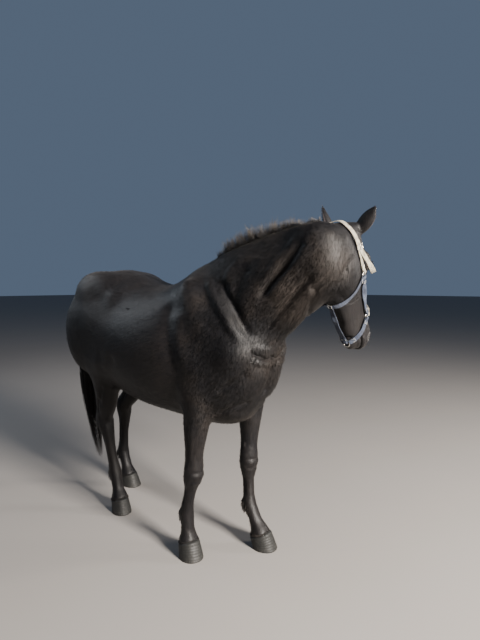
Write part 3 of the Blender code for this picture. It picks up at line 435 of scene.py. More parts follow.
# (ahead, left, up) on the body
BODY_FOLDS = (
    Fold(((0.958, 0.052, 1.575), (0.935, 0.056, 1.535), (0.871, 0.066, 1.455), (0.797, 0.091, 1.370),
          (0.745, 0.100, 1.290)), 0.0195, -0.0180),
    Fold(((0.915, 0.055, 1.595), (0.885, 0.058, 1.540), (0.825, 0.072, 1.465),
          (0.760, 0.090, 1.385)), 0.022, 0.0060),
    Fold(((0.985, 0.045, 1.530), (0.925, 0.055, 1.460), (0.865, 0.075, 1.385),
          (0.800, 0.092, 1.300)), 0.026, 0.0080),
    Fold(((1.025, 0.040, 1.440), (0.935, 0.046, 1.357), (0.872, 0.055, 1.285), (0.815, 0.075, 1.205),
          (0.765, 0.092, 1.120)), 0.0150, -0.0110),
    Fold(((1.010, 0.020, 1.380), (0.925, 0.020, 1.300), (0.865, 0.024, 1.225),
          (0.810, 0.040, 1.150)), 0.016, 0.0060),
    Fold(((0.700, 0.080, 1.490), (0.655, 0.110, 1.400), (0.640, 0.130, 1.300),
          (0.690, 0.125, 1.200)), 0.030, -0.0075),
    Fold(((0.640, 0.075, 1.520), (0.590, 0.105, 1.440), (0.565, 0.130, 1.370)), 0.024, 0.0060),
    Fold(((0.440, 0.130, 1.430), (0.520, 0.155, 1.333), (0.580, 0.165, 1.270), (0.635, 0.172, 1.205),
          (0.705, 0.145, 1.100)), 0.021, 0.0120),
    Fold(((0.535, 0.115, 1.410), (0.605, 0.135, 1.310), (0.670, 0.135, 1.225),
          (0.735, 0.112, 1.120)), 0.021, -0.0150),
    Fold(((0.300, 0.220, 1.340), (0.310, 0.270, 1.180), (0.350, 0.275, 1.030),
          (0.410, 0.250, 0.900)), 0.034, -0.0070),
    Fold(((0.360, 0.240, 1.270), (0.400, 0.270, 1.120), (0.450, 0.265, 0.980)), 0.042, 0.0090),
    Fold(((0.520, 0.145, 0.756), (0.598, 0.121, 0.790), (0.687, 0.055, 0.842)), 0.013, -0.0095),
    Fold(((0.560, 0.190, 0.870), (0.640, 0.165, 0.920), (0.715, 0.105, 0.985)), 0.017, -0.0085),
    Fold(((0.722, 0.128, 1.085), (0.734, 0.106, 1.062), (0.750, 0.066, 1.044), (0.759, 0.015, 1.036),
          (0.760, -0.030, 1.042)), 0.0090, -0.0120, False),
    Fold(((0.722, -0.128, 1.085), (0.734, -0.106, 1.062), (0.750, -0.066, 1.044), (0.759, -0.015, 1.036),
          (0.760, 0.030, 1.042)), 0.0090, -0.0130, False),
    Fold(((0.720, 0.110, 1.035), (0.742, 0.070, 1.016), (0.756, 0.015, 1.010)), 0.0130, 0.0075),
    Fold(((0.735, 0.110, 1.100), (0.762, 0.060, 1.080), (0.772, 0.012, 1.074)), 0.0110, 0.0050),
    Fold(((-0.120, 0.300, 1.060), (-0.190, 0.290, 0.960), (-0.235, 0.265, 0.880)), 0.030, 0.0028),
    Fold(((-0.080, 0.300, 1.000), (-0.150, 0.280, 0.900), (-0.200, 0.240, 0.820)), 0.030, -0.0030),
    Fold(((-0.640, 0.190, 1.290), (-0.700, 0.200, 1.120), (-0.690, 0.195, 0.960),
          (-0.620, 0.190, 0.830)), 0.022, -0.0030),
    Fold(((0.320, 0.230, 0.800), (0.180, 0.240, 0.765), (0.020, 0.220, 0.745)), 0.0060, 0.0016),
)
MIDDLE_FOLDS = (
    Fold(((0.768, 0.0, 1.020), (0.755, 0.0, 0.940), (0.700, 0.0, 0.840)), 0.019, -0.0140, False),
    Fold(((0.100, 0.0, 1.385), (-0.150, 0.0, 1.410), (-0.360, 0.0, 1.470)), 0.030, -0.0040, False),
    Fold(((-0.420, 0.0, 1.480), (-0.580, 0.0, 1.430), (-0.700, 0.0, 1.350)), 0.024, -0.0060, False),
    Fold(((0.775, 0.004, 1.100), (0.800, -0.010, 1.135), (0.820, -0.012, 1.165)), 0.0070, -0.0040, False),
    Fold(((0.840, 0.110, 1.300), (0.860, 0.085, 1.230), (0.870, 0.060, 1.190)), 0.0080, -0.0045, False),
    Fold(((0.880, 0.120, 1.330), (0.895, 0.095, 1.270), (0.900, 0.075, 1.230)), 0.0080, -0.0045, False),
    Fold(((0.860, 0.120, 1.315), (0.877, 0.090, 1.250), (0.885, 0.068, 1.210)), 0.0090, 0.0040, False),
)
BODY_SWELLS = (
    Swell((-0.275, 0.240, 1.335), (0.060, 0.050, 0.045), 0.0050),
    Swell((-0.160, 0.270, 1.240), (0.095, 0.070, 0.090), -0.0040),
    Swell((0.405, 0.215, 0.870), (0.040, 0.040, 0.040), 0.0080),
    Swell((0.700, 0.150, 1.060), (0.055, 0.050, 0.050), 0.0100),
    Swell((0.735, 0.060, 0.950), (0.060, 0.048, 0.075), 0.0120),
    Swell((-0.235, 0.270, 0.940), (0.070, 0.050, 0.080), 0.0030),
    Swell((-0.740, 0.070, 1.180), (0.040, 0.045, 0.060), 0.0060),
    Swell((-0.255, 0.045, 0.735), (0.075, 0.040, 0.040), 0.0100),
)


def leg_folds(leg: Leg) -> list[Fold]:
    """The tendons, muscles and creases of one leg, as (ahead, left, up) lines."""
    out = leg.side.value
    u, m, f, h = (np.array(p) for p in (leg.upper, leg.middle, leg.fetlock, leg.hoof))
    folds = []

    def between(a: np.ndarray, b: np.ndarray, share: float, ahead: float, side: float) -> Point:
        """A point part of the way from a to b, moved ahead and to a side."""
        spot = a + (b - a) * share
        return (spot[0] + ahead, spot[1] + side, spot[2])

    for face in (-1, 1):
        wide = 0.030 * face
        folds.append(
            Fold(tuple(between(m, f, t, -0.010, wide) for t in (0.22, 0.5, 0.80)), 0.0060, -0.0042, False)
        )
        folds.append(Fold(
            tuple(between(m, f, t, -0.026, wide * 0.5) for t in (0.18, 0.5, 0.84)), 0.0070, 0.0022, False
        ))
        folds.append(
            Fold(tuple(between(f, h, t, -0.022, wide) for t in (0.12, 0.28, 0.42)), 0.0070, -0.0028, False)
        )
        folds.append(
            Fold(tuple(between(f, h, t, 0.004, wide) for t in (0.05, 0.30, 0.52)), 0.0060, 0.0014, False)
        )
    if leg.fore:
        for share, ahead, tall in ((0.38, 0.0, -0.0045), (0.38, 0.030, 0.0030), (0.38, -0.035, 0.0035)):
            line = tuple(
                between(u, m, t, ahead * (1.3 - t), 0.055 * out) for t in (share - 0.12, share + 0.12, 0.86)
            )
            folds.append(Fold(line, 0.011, tall, False))
        for lift, tall in ((0.028, -0.0022), (0.008, 0.0016), (-0.014, -0.0022), (-0.034, 0.0014)):
            line = tuple(
                (m[0] + 0.036 * math.cos(a), m[1] + 0.040 * math.sin(a), m[2] + lift)
                for a in (-1.3, 0.0, 1.3)
            )
            folds.append(Fold(line, 0.0075, tall, False))
    else:
        for face in (-1, 1):
            line = tuple(between(m, u, t, -0.018 + 0.02 * t, 0.032 * face) for t in (0.12, 0.26, 0.42))
            folds.append(Fold(line, 0.013, -0.0080, False))
            line = tuple(
                (m[0] + x, m[1] + 0.040 * face, m[2] + z)
                for x, z in ((-0.004, 0.030), (0.006, -0.010), (0.0, -0.05))
            )
            folds.append(Fold(line, 0.010, 0.0026, False))
        line = tuple(between(u, m, t, 0.010, 0.060 * out) for t in (0.35, 0.55, 0.78))
        folds.append(Fold(line, 0.012, -0.0045, False))
    return folds


def leg_swells(leg: Leg) -> list[Swell]:
    """The bony points and heel bulbs of one leg, as (ahead, left, up) places."""
    out = leg.side.value
    m, f, h = leg.middle, leg.fetlock, leg.hoof
    back = math.radians(leg.toe_out)
    heel = (h[0] - 0.052 * math.cos(back), h[1] - 0.052 * math.sin(back))
    swells = [
        Swell((f[0] - 0.032, f[1] + 0.016, f[2] + 0.004), (0.014, 0.013, 0.020), 0.0045, False),
        Swell((f[0] - 0.032, f[1] - 0.016, f[2] + 0.004), (0.014, 0.013, 0.020), 0.0045, False),
        Swell((heel[0], heel[1] + 0.018, 0.062), (0.016, 0.015, 0.018), 0.0045, False),
        Swell((heel[0], heel[1] - 0.018, 0.062), (0.016, 0.015, 0.018), 0.0045, False),
        Swell((f[0] - 0.040, f[1], f[2] - 0.020), (0.010, 0.010, 0.010), 0.0040, False),
    ]
    if leg.fore:
        behind = (m[0] - 0.040, m[1] + 0.012 * out, m[2] + 0.030)
        swells.append(Swell(behind, (0.014, 0.014, 0.020), 0.0060, False))
        for sign in (1, -1):
            beside = (m[0] + 0.004, m[1] + sign * 0.038 * out, m[2] + 0.046)
            swells.append(Swell(beside, (0.016, 0.012, 0.016), 0.0030, False))
    else:
        swells.append(Swell((m[0] - 0.052, m[1], m[2] + 0.045), (0.016, 0.014, 0.022), 0.0050, False))
        swells.append(
            Swell((m[0] + 0.016, m[1] - 0.036 * out, m[2] - 0.010), (0.020, 0.012, 0.020), 0.0030, False)
        )
    return swells


def toe_frame(leg: Leg) -> tuple[np.ndarray, np.ndarray]:
    """World directions out of a leg's toe and to its side."""
    out = math.radians(leg.toe_out)
    toe = np.array([math.sin(out), -math.cos(out), 0.0])
    return toe, np.cross((0.0, 0.0, 1.0), toe)


def chestnut_spot(leg: Leg) -> Point:
    """Where the leg's chestnut sits on its inner side, as (ahead, left, up)."""
    out = leg.side.value
    m = leg.middle
    if leg.fore:
        return (m[0] + 0.004, m[1] - 0.050 * out, m[2] + 0.105)
    return (m[0] + 0.006, m[1] - 0.042 * out, m[2] - 0.052)


class Clay:
    """The skin's points while they are being modelled."""

    def __init__(self, mesh: bpy.types.Mesh) -> None:
        """Takes the mesh's points and normals."""
        self.mesh = mesh
        self.points = coordinates(mesh)
        self.normals = normals_of(mesh)
        self.sample = self.points[:: max(1, len(self.points) // 90000)]

    def renew(self) -> None:
        """Writes the points back and reads the normals again."""
        put_coordinates(self.mesh, self.points)
        self.normals = normals_of(self.mesh)
        self.sample = self.points[:: max(1, len(self.points) // 90000)]

    def on_skin(self, spots: np.ndarray) -> np.ndarray:
        """The skin's nearest points to these places."""
        nearest = [np.argmin(((self.sample - spot) ** 2).sum(1)) for spot in spots]
        return self.sample[nearest]

    def fold(self, line: np.ndarray, width: float, height: float) -> None:
        """Raises the skin along a line, or presses it in.

        Args:
            line: World points near the skin.
            width: The distance over which the form dies away.
            height: How far its middle moves; negative goes in.
        """
        line = self.on_skin(curve_through(line, max(0.012, width)))
        if len(line) > 2:
            line[1:-1] = (line[:-2] + line[1:-1] * 2 + line[2:]) / 4
        reach = width * 2.6
        near = np.all(
            (self.points > line.min(0) - reach) & (self.points < line.max(0) + reach), axis=1
        ).nonzero()[0]
        if not len(near):
            return
        spots = self.points[near]
        best = np.full(len(near), 1e9)
        share = np.zeros(len(near))
        for k in range(len(line) - 1):
            a, b = line[k], line[k + 1]
            span = b - a
            t = np.clip((spots - a) @ span / max(span @ span, 1e-12), 0, 1)
            gap = np.linalg.norm(spots - a - t[:, None] * span, axis=1)
            closer = gap < best
            best[closer] = gap[closer]
            share[closer] = (k + t[closer]) / (len(line) - 1)
        ends = smooth(share, 0.0, 0.22) * smooth(share, 1.0, 0.78)
        move = height * np.exp(-((best / width) ** 2)) * ends
        self.points[near] += self.normals[near] * move[:, None]

    def swell(self, centre: np.ndarray, axes: np.ndarray, radii: Point, height: float) -> None:
        """Raises a round form on the skin, or hollows it.

        Args:
            centre: A world point near the skin.
            axes: Rows of unit vectors that the radii follow.
            radii: How far the form reaches along each axis.
            height: How far its middle moves; negative goes in.
        """
        centre = self.on_skin(centre[None])[0]
        reach = max(radii) * 2.4
        near = np.all(np.abs(self.points - centre) < reach, axis=1).nonzero()[0]
        local = (self.points[near] - centre) @ axes.T / np.asarray(radii)
        move = height * np.exp(-(local**2).sum(1))
        self.points[near] += self.normals[near] * move[:, None]


@dataclass(frozen=True)
class Ear:
    """One cupped ear: a leaf rolled into a scoop that opens forwards."""

    side: Side
    root: Point
    lean: Point
    front: tuple[float, float]
    spread: float
    length: float = 0.130
    wall: float = 0.0054

    def axes(self) -> tuple[np.ndarray, np.ndarray, np.ndarray, np.ndarray]:
        """The ear's root, and its directions along, out of its opening and across, on the head."""
        sign = self.side.value
        axis = unit(np.array([sign * self.lean[2], self.lean[1], self.lean[0]]))
        front = np.array([*self.front, 0.0])
        front = unit(front - axis * (front @ axis))
        root = np.array([sign * self.root[2], self.root[1], -self.root[0]])
        return root, axis, front, np.cross(axis, front)

    def shell(self, stance: Stance) -> tuple[list, list]:
        """The ear's closed shell.

        Args:
            stance: The horse's frames.

        Returns:
            Its points and faces.
        """
        root, axis, front, across = self.axes()
        # share of the length, half width, half depth, half opening in degrees
        leaf = ((-0.16, 0.021, 0.020, 8.0), (0.02, 0.0265, 0.024, 14.0), (0.22, 0.0305, 0.025, 38.0),
                (0.44, 0.0300, 0.022, 56.0), (0.64, 0.0250, 0.0165, 66.0), (0.80, 0.0175, 0.0120, 72.0),
                (0.92, 0.0100, 0.0080, 76.0), (1.0, 0.0048, 0.0045, 78.0))
        rows = curve_through([(row[0] * self.length, 0.0, 0.0, *row[1:]) for row in leaf], 0.005)
        rings = []
        for height, _, _, wide, deep, gap in rows:
            share = height / self.length
            centre = root + axis * height - front * (0.10 * self.length * share * share)
            wide = wide * self.spread
            turns = np.linspace(math.radians(gap), 2 * math.pi - math.radians(gap), 19)
            wall = min(self.wall, wide * 0.7, deep * 0.7)
            loop = [(turn, 0.0) for turn in turns] + [(turn, wall) for turn in reversed(turns)]
            ring = []
            for turn, inset in loop:
                local = centre + across * ((wide - inset) * math.sin(turn))
                local = local + front * ((deep - inset) * math.cos(turn))
                ring.append(stance.turn @ local + stance.start)
            rings.append(ring)
        return lofted(rings)


EARS = (
    Ear(Side.LEFT, (0.026, -0.040, 0.064), (0.84, 0.54, 0.62), (0.90, -0.35), 0.92),
    Ear(Side.RIGHT, (0.040, -0.006, 0.070), (0.74, 0.20, 0.70), (-0.35, 0.90), 1.12, 0.120),
)


@dataclass(frozen=True)
class EyeSocket:
    """The opening between the lids of one eye, and the lids round it."""

    side: Side
    half_long: float = 0.0180
    upper: float = 0.0112
    lower: float = 0.0088
    lid: float = 0.0027
    recess: float = 0.0050
    power: float = 1.75

    def axes(self, stance: Stance) -> tuple[np.ndarray, np.ndarray]:
        """The eye's centre, and rows of unit vectors: along the lids to the nose, up, and out of the eye."""
        sign = self.side.value
        low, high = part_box(f"eye_{self.side.word}")
        out = unit(stance.turn @ np.array([sign * 1.0, 0.20, -0.06]))
        nose = stance.turn @ np.array([0.0, -0.22, -1.0])
        nose = unit(nose - out * (nose @ out))
        up = np.cross(nose, out) * sign
        up = up if up @ (stance.turn @ np.array([0.0, 1.0, 0.0])) > 0 else -up
        return np.array((low + high) / 2), np.stack([nose, up, out])

    def outside(self, nose: np.ndarray, up: np.ndarray) -> np.ndarray:
        """How far a place on the eyeball lies outside the opening, in metres; negative is inside."""
        tall = np.where(up > 0, self.upper, self.lower)
        level = np.abs(nose / self.half_long) ** self.power + np.abs(up / tall) ** self.power
        level = level ** (1 / self.power)
        return (level - 1.0) * np.sqrt(nose**2 + up**2) / np.maximum(level, 1e-6)

    def carve(self, clay: Clay, stance: Stance) -> None:
        """Opens the lids over the eyeball and rolls their margins."""
        centre, axes = self.axes(stance)
        reach = clay.points - centre
        near = ((reach**2).sum(1) < 0.046**2).nonzero()[0]
        local = reach[near] @ axes.T
        ahead = local[:, 2] > 0.0
        near, local = near[ahead], local[ahead]
        radius = np.linalg.norm(local, axis=1)
        nose = EYE_RADIUS * np.arctan2(local[:, 0], local[:, 2])
        up = EYE_RADIUS * np.arctan2(local[:, 1], local[:, 2])
        gap = self.outside(nose, up)
        crease = np.where(up > 0, 0.0014, 0.0010) * np.exp(-(((gap - 0.0072) / 0.0018) ** 2))
        crease += np.where(up > 0, 0.0004, 0.0004) * np.exp(-(((gap - 0.0125) / 0.0018) ** 2))
        rim = EYE_RADIUS + self.lid + np.where(up > 0, 0.0008, 0.0) - crease
        inside = smooth(gap, -0.0012, 0.0007)
        shaped = (EYE_RADIUS - self.recess) * (1 - inside) + rim * inside
        away = smooth(gap, 0.0050, 0.0160)
        shaped = shaped * (1 - away) + (radius - crease * 0.6) * away
        world = (local / radius[:, None] * shaped[:, None]) @ axes + centre
        clay.points[near] = world


@dataclass(frozen=True)
class Nostril:
    """One comma-shaped nostril, hollow inside, with a raised rim and the fold behind it."""

    side: Side
    seat: Point = (0.562, -0.036, 0.050)
    half_long: float = 0.0195
    half_short: float = 0.0088
    depth: float = 0.0200

    def axes(self, clay: Clay, stance: Stance) -> tuple[np.ndarray, np.ndarray]:
        """The nostril's centre on the skin, and rows: along its length, across it, and outwards."""
        sign = self.side.value
        centre = clay.on_skin(stance.head_spots([self.seat], sign))[0]
        out = unit(stance.turn @ np.array([sign * 0.80, 0.42, -0.42]))
        along = stance.turn @ np.array([sign * 0.25, -0.62, -0.75])
        along = unit(along - out * (along @ out))
        return centre, np.stack([along, np.cross(out, along) * sign, out])

    def carve(self, clay: Clay, stance: Stance) -> np.ndarray:
        """Hollows the nostril and lifts its rim.

        Args:
            clay: The skin's points.
            stance: The horse's frames.

        Returns:
            The nostril's centre.
        """
        centre, axes = self.axes(clay, stance)
        reach = clay.points - centre
        near = ((reach**2).sum(1) < 0.045**2).nonzero()[0]
        local = reach[near] @ axes.T
        bent = local[:, 1] - 9.0 * (local[:, 0] ** 2) + 0.0012
        short = self.half_short * (1.0 + 0.35 * np.clip(local[:, 0] / self.half_long, -1, 1))
        level = np.sqrt((local[:, 0] / self.half_long) ** 2 + (bent / short) ** 2)
        gap = (level - 1.0) * np.sqrt(local[:, 0] ** 2 + bent**2) / np.maximum(level, 1e-6)
        facing = clay.normals[near] @ axes[2] > 0.0
        hollow = -self.depth * smooth(gap, 0.0008, -0.0062) * facing
        rim = 0.0034 * np.exp(-(((gap - 0.0034) / 0.0034) ** 2)) * facing
        groove = -0.0018 * np.exp(-(((gap - 0.0110) / 0.0030) ** 2)) * facing
        clay.points[near] += axes[2] * (hollow + rim + groove)[:, None]
        return centre


@dataclass(frozen=True)
class Panel:
    """One panel of the skin's unwrap: a sleeve opened out flat into its own part of the square."""

    corner: tuple[float, float]
    size: tuple[float, float]
    low: float
    high: float


class Hide:
    """The one skin over the trunk, neck, head, ears and legs."""

    grow = 0.0008
    coat_depth = 0.0022
    base_voxel = 0.0050
    fine_voxel = 0.0035
    most_faces = 186000
    base_passes = 34
    fine_passes = 7
    chestnut = (0.0070, 0.0100, 0.0150)
    chestnut_height = 0.0030
    nostril_reach = 0.030
    eye_reach = 0.038
    mouth_reach = 0.020

    def __init__(self, frame: dict, stance: Stance) -> None:
        """Takes the fixed frame and the horse's own frames."""
        self.frame = frame
        self.stance = stance
        self.voxel = self.fine_voxel

    def gathered(self, names: Iterable[str], extra: Iterable[tuple[list, list]] = ()) -> bpy.types.Object:
        """One loose object of copies of nodes, each merged and grown a little, and of further shells."""
        points: list = []
        faces: list = []
        for name in names:
            made = bmesh.new()
            made.from_mesh(self.frame["nodes"][name].data)
            bmesh.ops.remove_doubles(made, verts=made.verts, dist=1e-5)
            made.normal_update()
            start = len(points)
            made.verts.index_update()
            points += [vert.co + vert.normal * self.grow for vert in made.verts]
            faces += [[vert.index + start for vert in face.verts] for face in made.faces]
            made.free()
        for shell_points, shell_faces in extra:
            start = len(points)
            points += shell_points
            faces += [[i + start for i in face] for face in shell_faces]
        return new_object("hide_rough", points, faces)

    def remeshed(self, obj: bpy.types.Object, voxel: float) -> bpy.types.Mesh:
        """The object's outer surface, in even squares."""
        change = obj.modifiers.new("even", "REMESH")
        change.mode = "VOXEL"
        change.voxel_size = voxel
        return settled(obj)

    def eased(self, mesh: bpy.types.Mesh, passes: int, weight: np.ndarray) -> None:
        """Relaxes a mesh towards its neighbours.

        Args:
            mesh: The mesh to change.
            passes: How many times.
            weight: How much each point moves, from 0 to 1.
        """
        points = coordinates(mesh)
        edges = np.empty(len(mesh.edges) * 2, np.int32)
        mesh.edges.foreach_get("vertices", edges)
        a, b = edges[0::2], edges[1::2]
        total = len(points)
        count = np.bincount(edges, minlength=total).astype(float)
        share = (0.6 * weight)[:, None]
        for _ in range(passes):
            around = np.stack([
                np.bincount(a, points[b, k], total) + np.bincount(b, points[a, k], total) for k in range(3)
            ], 1)
            points += share * (around / count[:, None] - points)
        put_coordinates(mesh, points)

    def body_share(self, points: np.ndarray) -> np.ndarray:
        """Where the skin is broad: 1 on the trunk and neck, less on the head and legs."""
        broad = smooth(self.stance.to_body(points)[:, 2], 0.72, 0.92)
        return np.clip(0.16 + 0.84 * broad * (1 - 0.93 * self.stance.head_share(points)), 0.14, 1.0)

    def fused(self) -> bpy.types.Mesh:
        """The flesh nodes fused and smoothed, with the ears and eyeballs joined on."""
        flesh = [name for name in FLESH if not name.startswith("ear")]
        rough = self.gathered(flesh)
        base = self.remeshed(rough, self.base_voxel)
        discard(rough)
        self.eased(base, self.base_passes, self.body_share(coordinates(base)))
        smooth_base = add_object("hide_base", base)
        shells = [ear.shell(self.stance) for ear in EARS]
        whole = self.gathered(("eye_left", "eye_right"), shells)
        start = len(whole.data.vertices)
        points = [tuple(vert.co) for mesh in (whole.data, base) for vert in mesh.vertices]
        faces = [tuple(face.vertices) for face in whole.data.polygons]
        faces += [tuple(index + start for index in face.vertices) for face in base.polygons]
        both = new_object("hide_both", points, faces)
        fine = self.remeshed(both, self.voxel)
        discard(both, whole, smooth_base)
        self.eased(fine, self.fine_passes, np.full(len(fine.vertices), 0.8))
        return fine

    def modelled(self, mesh: bpy.types.Mesh) -> list[np.ndarray]:
        """Models the muscles, tendons, lids, nostrils and folds on the mesh.

        Args:
            mesh: The fused skin.

        Returns:
            The places of the nostrils.
        """
        clay = Clay(mesh)
        stance = self.stance
        clay.points -= (
            clay.normals * (self.coat_depth * (0.45 + 0.55 * self.body_share(clay.points)))[:, None]
        )
        clay.renew()
        body_axes = np.array([(0.0, -1.0, 0.0), (1.0, 0.0, 0.0), (0.0, 0.0, 1.0)])
        head_axes = np.stack([-stance.turn[:, 2], stance.turn[:, 1], stance.turn[:, 0]])
        jobs: list[tuple[Sequence[Swell], Callable, np.ndarray]] = [
            (BODY_SWELLS, stance.body_spots, body_axes), (HEAD_SWELLS, stance.head_spots, head_axes),
        ]
        jobs += [(leg_swells(leg), stance.body_spots, body_axes) for leg in LEGS]
        for swells, spots_of, axes in jobs:
            for swell in swells:
                for sign in (1, -1) if swell.paired else (1,):
                    clay.swell(spots_of([swell.centre], sign)[0], axes, swell.radii, swell.height)
        clay.renew()
        lines: list[tuple[Fold, Callable]] = [
            (fold, stance.head_spots) for fold in HEAD_FOLDS + HEAD_MIDDLE_FOLDS
        ]
        lines += [(fold, stance.body_spots) for fold in BODY_FOLDS + MIDDLE_FOLDS]
        for leg in LEGS:
            lines += [(fold, stance.body_spots) for fold in leg_folds(leg)]
        for fold, spots_of in lines:
            for sign in (1, -1) if fold.paired else (1,):
                clay.fold(spots_of(fold.line, sign), fold.width, fold.height)
        for leg in LEGS:
            spot = stance.body_spots([chestnut_spot(leg)])[0]
            clay.swell(spot, body_axes, self.chestnut, self.chestnut_height)
        clay.renew()
        return self.openings(mesh)

    def openings(self, mesh: bpy.types.Mesh) -> list[np.ndarray]:
        """Refines the skin round the eyes and nostrils and opens them."""
        clay = Clay(mesh)
        stance = self.stance
        nostrils = [Nostril(side) for side in Side]
        sockets = [EyeSocket(side) for side in Side]
        holes = [(nostril.axes(clay, stance)[0], self.nostril_reach) for nostril in nostrils]
        holes += [(socket.axes(stance)[0], self.eye_reach) for socket in sockets]
        mouth = np.vstack(
            [curve_through(stance.head_spots(MOUTH_FOLDS[-1].line, sign), 0.010) for sign in (1, -1)]
        )
        finer(mesh, holes + [(spot, self.mouth_reach) for spot in clay.on_skin(mouth)])
        finer(mesh, [(spot, reach * 0.88) for spot, reach in holes])
        clay = Clay(mesh)
        for fold in MOUTH_FOLDS:
            for sign in (1, -1):
                clay.fold(stance.head_spots(fold.line, sign), fold.width, fold.height)
        places = [nostril.carve(clay, stance) for nostril in nostrils]
        for socket in sockets:
            socket.carve(clay, stance)
        clay.renew()
        weight = np.zeros(len(clay.points))
        for spot, reach in holes:
            weight = np.maximum(
                weight, smooth(np.linalg.norm(clay.points - spot, axis=1), reach, reach * 0.8)
            )
        self.eased(mesh, 3, weight * 0.5)
        return places

    def built(self) -> bpy.types.Object:
        """The finished skin, thinned where it is plain, with its coat's directions and its unwrap."""
        mesh = self.fused()
        log.info("fused: %d points", len(mesh.vertices))
        self.nostrils = self.modelled(mesh)
        rough = add_object("hide_full", mesh)
        thin = rough.modifiers.new("thin", "DECIMATE")
        triangles = sum(len(p.vertices) - 2 for p in mesh.polygons)
        thin.ratio = min(1.0, self.most_faces / triangles)
        thin.use_collapse_triangulate = True
        mesh = settled(rough)
        discard(rough)
        self.skin = add_object("skin", mesh)
        self.read_coat(mesh)
        self.unwrap(mesh)
        log.info("skin: %d faces", len(mesh.polygons))
        return self.skin

    def read_coat(self, mesh: bpy.types.Mesh) -> None:
        """Works out the lie, length and thickness of the coat at every point and stores them."""
        stance = self.stance
        points = coordinates(mesh)
        normals = normals_of(mesh)
        ahead, _, up = stance.to_body(points).T
        down = stance.to_head(points)[:, 0]
        head = stance.head_share(points)
        ear = ear_share(points, stance)
        legs = smooth(up, 0.80, 0.62) * (1 - head)
        neck = smooth(ahead + 0.45 * (up - 1.2), 0.52, 0.72) * (1 - head) * (1 - legs)
        chest = smooth(ahead, 0.32, 0.52) * (1 - neck) * (1 - head) * (1 - legs)
        croup = smooth(ahead, -0.30, -0.55) * (1 - legs)
        slope = np.clip(neck + chest + croup, 0, 1)
        trunk = np.clip(1 - head - legs - slope, 0, 1)
        lie = np.zeros_like(points)
        for weight, toward in (
            (trunk, (-1.0, 0.0, -0.28)), (neck, (-0.62, 0.0, -0.78)), (chest, (-0.30, 0.0, -0.95)),
            (croup, (-0.45, 0.0, -0.90)), (legs, (-0.10, 0.0, -1.0)),
        ):
            lie += weight[:, None] * np.array([toward[1], -toward[0], toward[2]])
        head_lie = np.array([0.0, -0.35, -0.9]) @ stance.turn.T
        ear_lie = np.array([0.0, 0.45, 0.85]) @ stance.turn.T
        lie = lie + head[:, None] * head_lie
        lie = lie * (1 - ear[:, None]) + ear[:, None] * ear_lie
        lie = unit(lie - normals * (lie * normals).sum(1, keepdims=True))
        bare = self.bare_share(points)
        rear = smooth(normals[:, 1], 0.1, 0.8)
        under = smooth(normals[:, 2], -0.2, -0.9)
        low_leg = smooth(up, 0.34, 0.20)
        length = 0.0135 + 0.0060 * neck + 0.0040 * chest + 0.0050 * under * trunk
        length = length - 0.0078 * head - 0.0035 * legs * (1 - rear * 0.6) + 0.0040 * low_leg * rear
        length = length * (1 - 0.35 * smooth(down, 0.40, 0.55) * head) * (1 - 0.45 * ear)
        density = (
            0.55 + 0.55 * neck + 0.45 * chest + 0.5 * under * trunk + 1.5 * head + 0.8 * legs
            + 0.6 * legs * rear
        )
        density = np.maximum(density * (1 - bare), 0.0) * (1 + 0.8 * ear)
        density = density * (1 + 0.5 * head)
        lift = (
            0.10 + 0.08 * under + 0.03 * neck + 0.03 * chest + 0.06 * rear * legs - 0.03 * head + 0.02 * ear
        )
        inner = np.zeros(len(points))
        for leaf in EARS:
            root, axis, front, _ = leaf.axes()
            hollow = (normals @ stance.turn) @ front
            rel = (points - stance.start) @ stance.turn - root
            near = smooth(np.abs(rel[:, 0]), 0.16, 0.13) * (np.sign(rel[:, 0] + root[0]) == leaf.side.value)
            centre = rel - (rel @ axis)[:, None] * axis
            cup = smooth(hollow, 0.0, 0.35) * smooth(centre @ front, 0.012, 0.004)
            inner = np.maximum(inner, ear * near * cup)
        regions = (Region.HEAD, Region.NECK, Region.LEGS, Region.SHOULDER, Region.QUARTERS)
        region = np.select(
            [head > 0.5, neck > 0.5, up < 0.78, ahead > 0.36, ahead < -0.28],
            [region.value for region in regions],
            Region.BARREL.value,
        )
        store(mesh, "lie", lie)
        store(mesh, "fur_length", length)
        store(mesh, "fur_density", density)
        store(mesh, "fur_lift", lift)
        store(mesh, "region", region.astype(float))
        store(mesh, "bare", bare)
        store(mesh, "inner", inner)
        store(mesh, "flow", np.stack([trunk, legs, head], 1))

    def bare_share(self, points: np.ndarray) -> np.ndarray:
        """Where the skin is bare: nostrils, lips, the lids' margins and the chestnuts."""
        stance = self.stance
        down, face, across = stance.to_head(points).T
        bare = smooth(down, 0.585, 0.612) * smooth(np.abs(across), 0.09, 0.06) * smooth(face, -0.16, -0.13)
        for spot in self.nostrils:
            bare = np.maximum(bare, smooth(np.linalg.norm(points - spot, axis=1), 0.032, 0.016))
        for side in Side:
            socket = EyeSocket(side)
            centre, axes = socket.axes(stance)
            local = (points - centre) @ axes.T
            reach = np.linalg.norm(local, axis=1)
            gap = socket.outside(*(EYE_RADIUS * np.arctan2(local[:, k], local[:, 2]) for k in (0, 1)))
            bare = np.maximum(bare, smooth(gap, 0.0045, 0.0015) * (reach < 0.034) * (local[:, 2] > 0))
        for leg in LEGS:
            spot = stance.body_spots([chestnut_spot(leg)])[0]
            gap = np.sqrt(((points[:, 0] - spot[0]) / 0.022) ** 2 + ((points[:, 1] - spot[1]) / 0.010) ** 2
                          + ((points[:, 2] - spot[2]) / 0.017) ** 2)
            bare = np.maximum(bare, smooth(gap, 1.25, 0.85))
        return bare

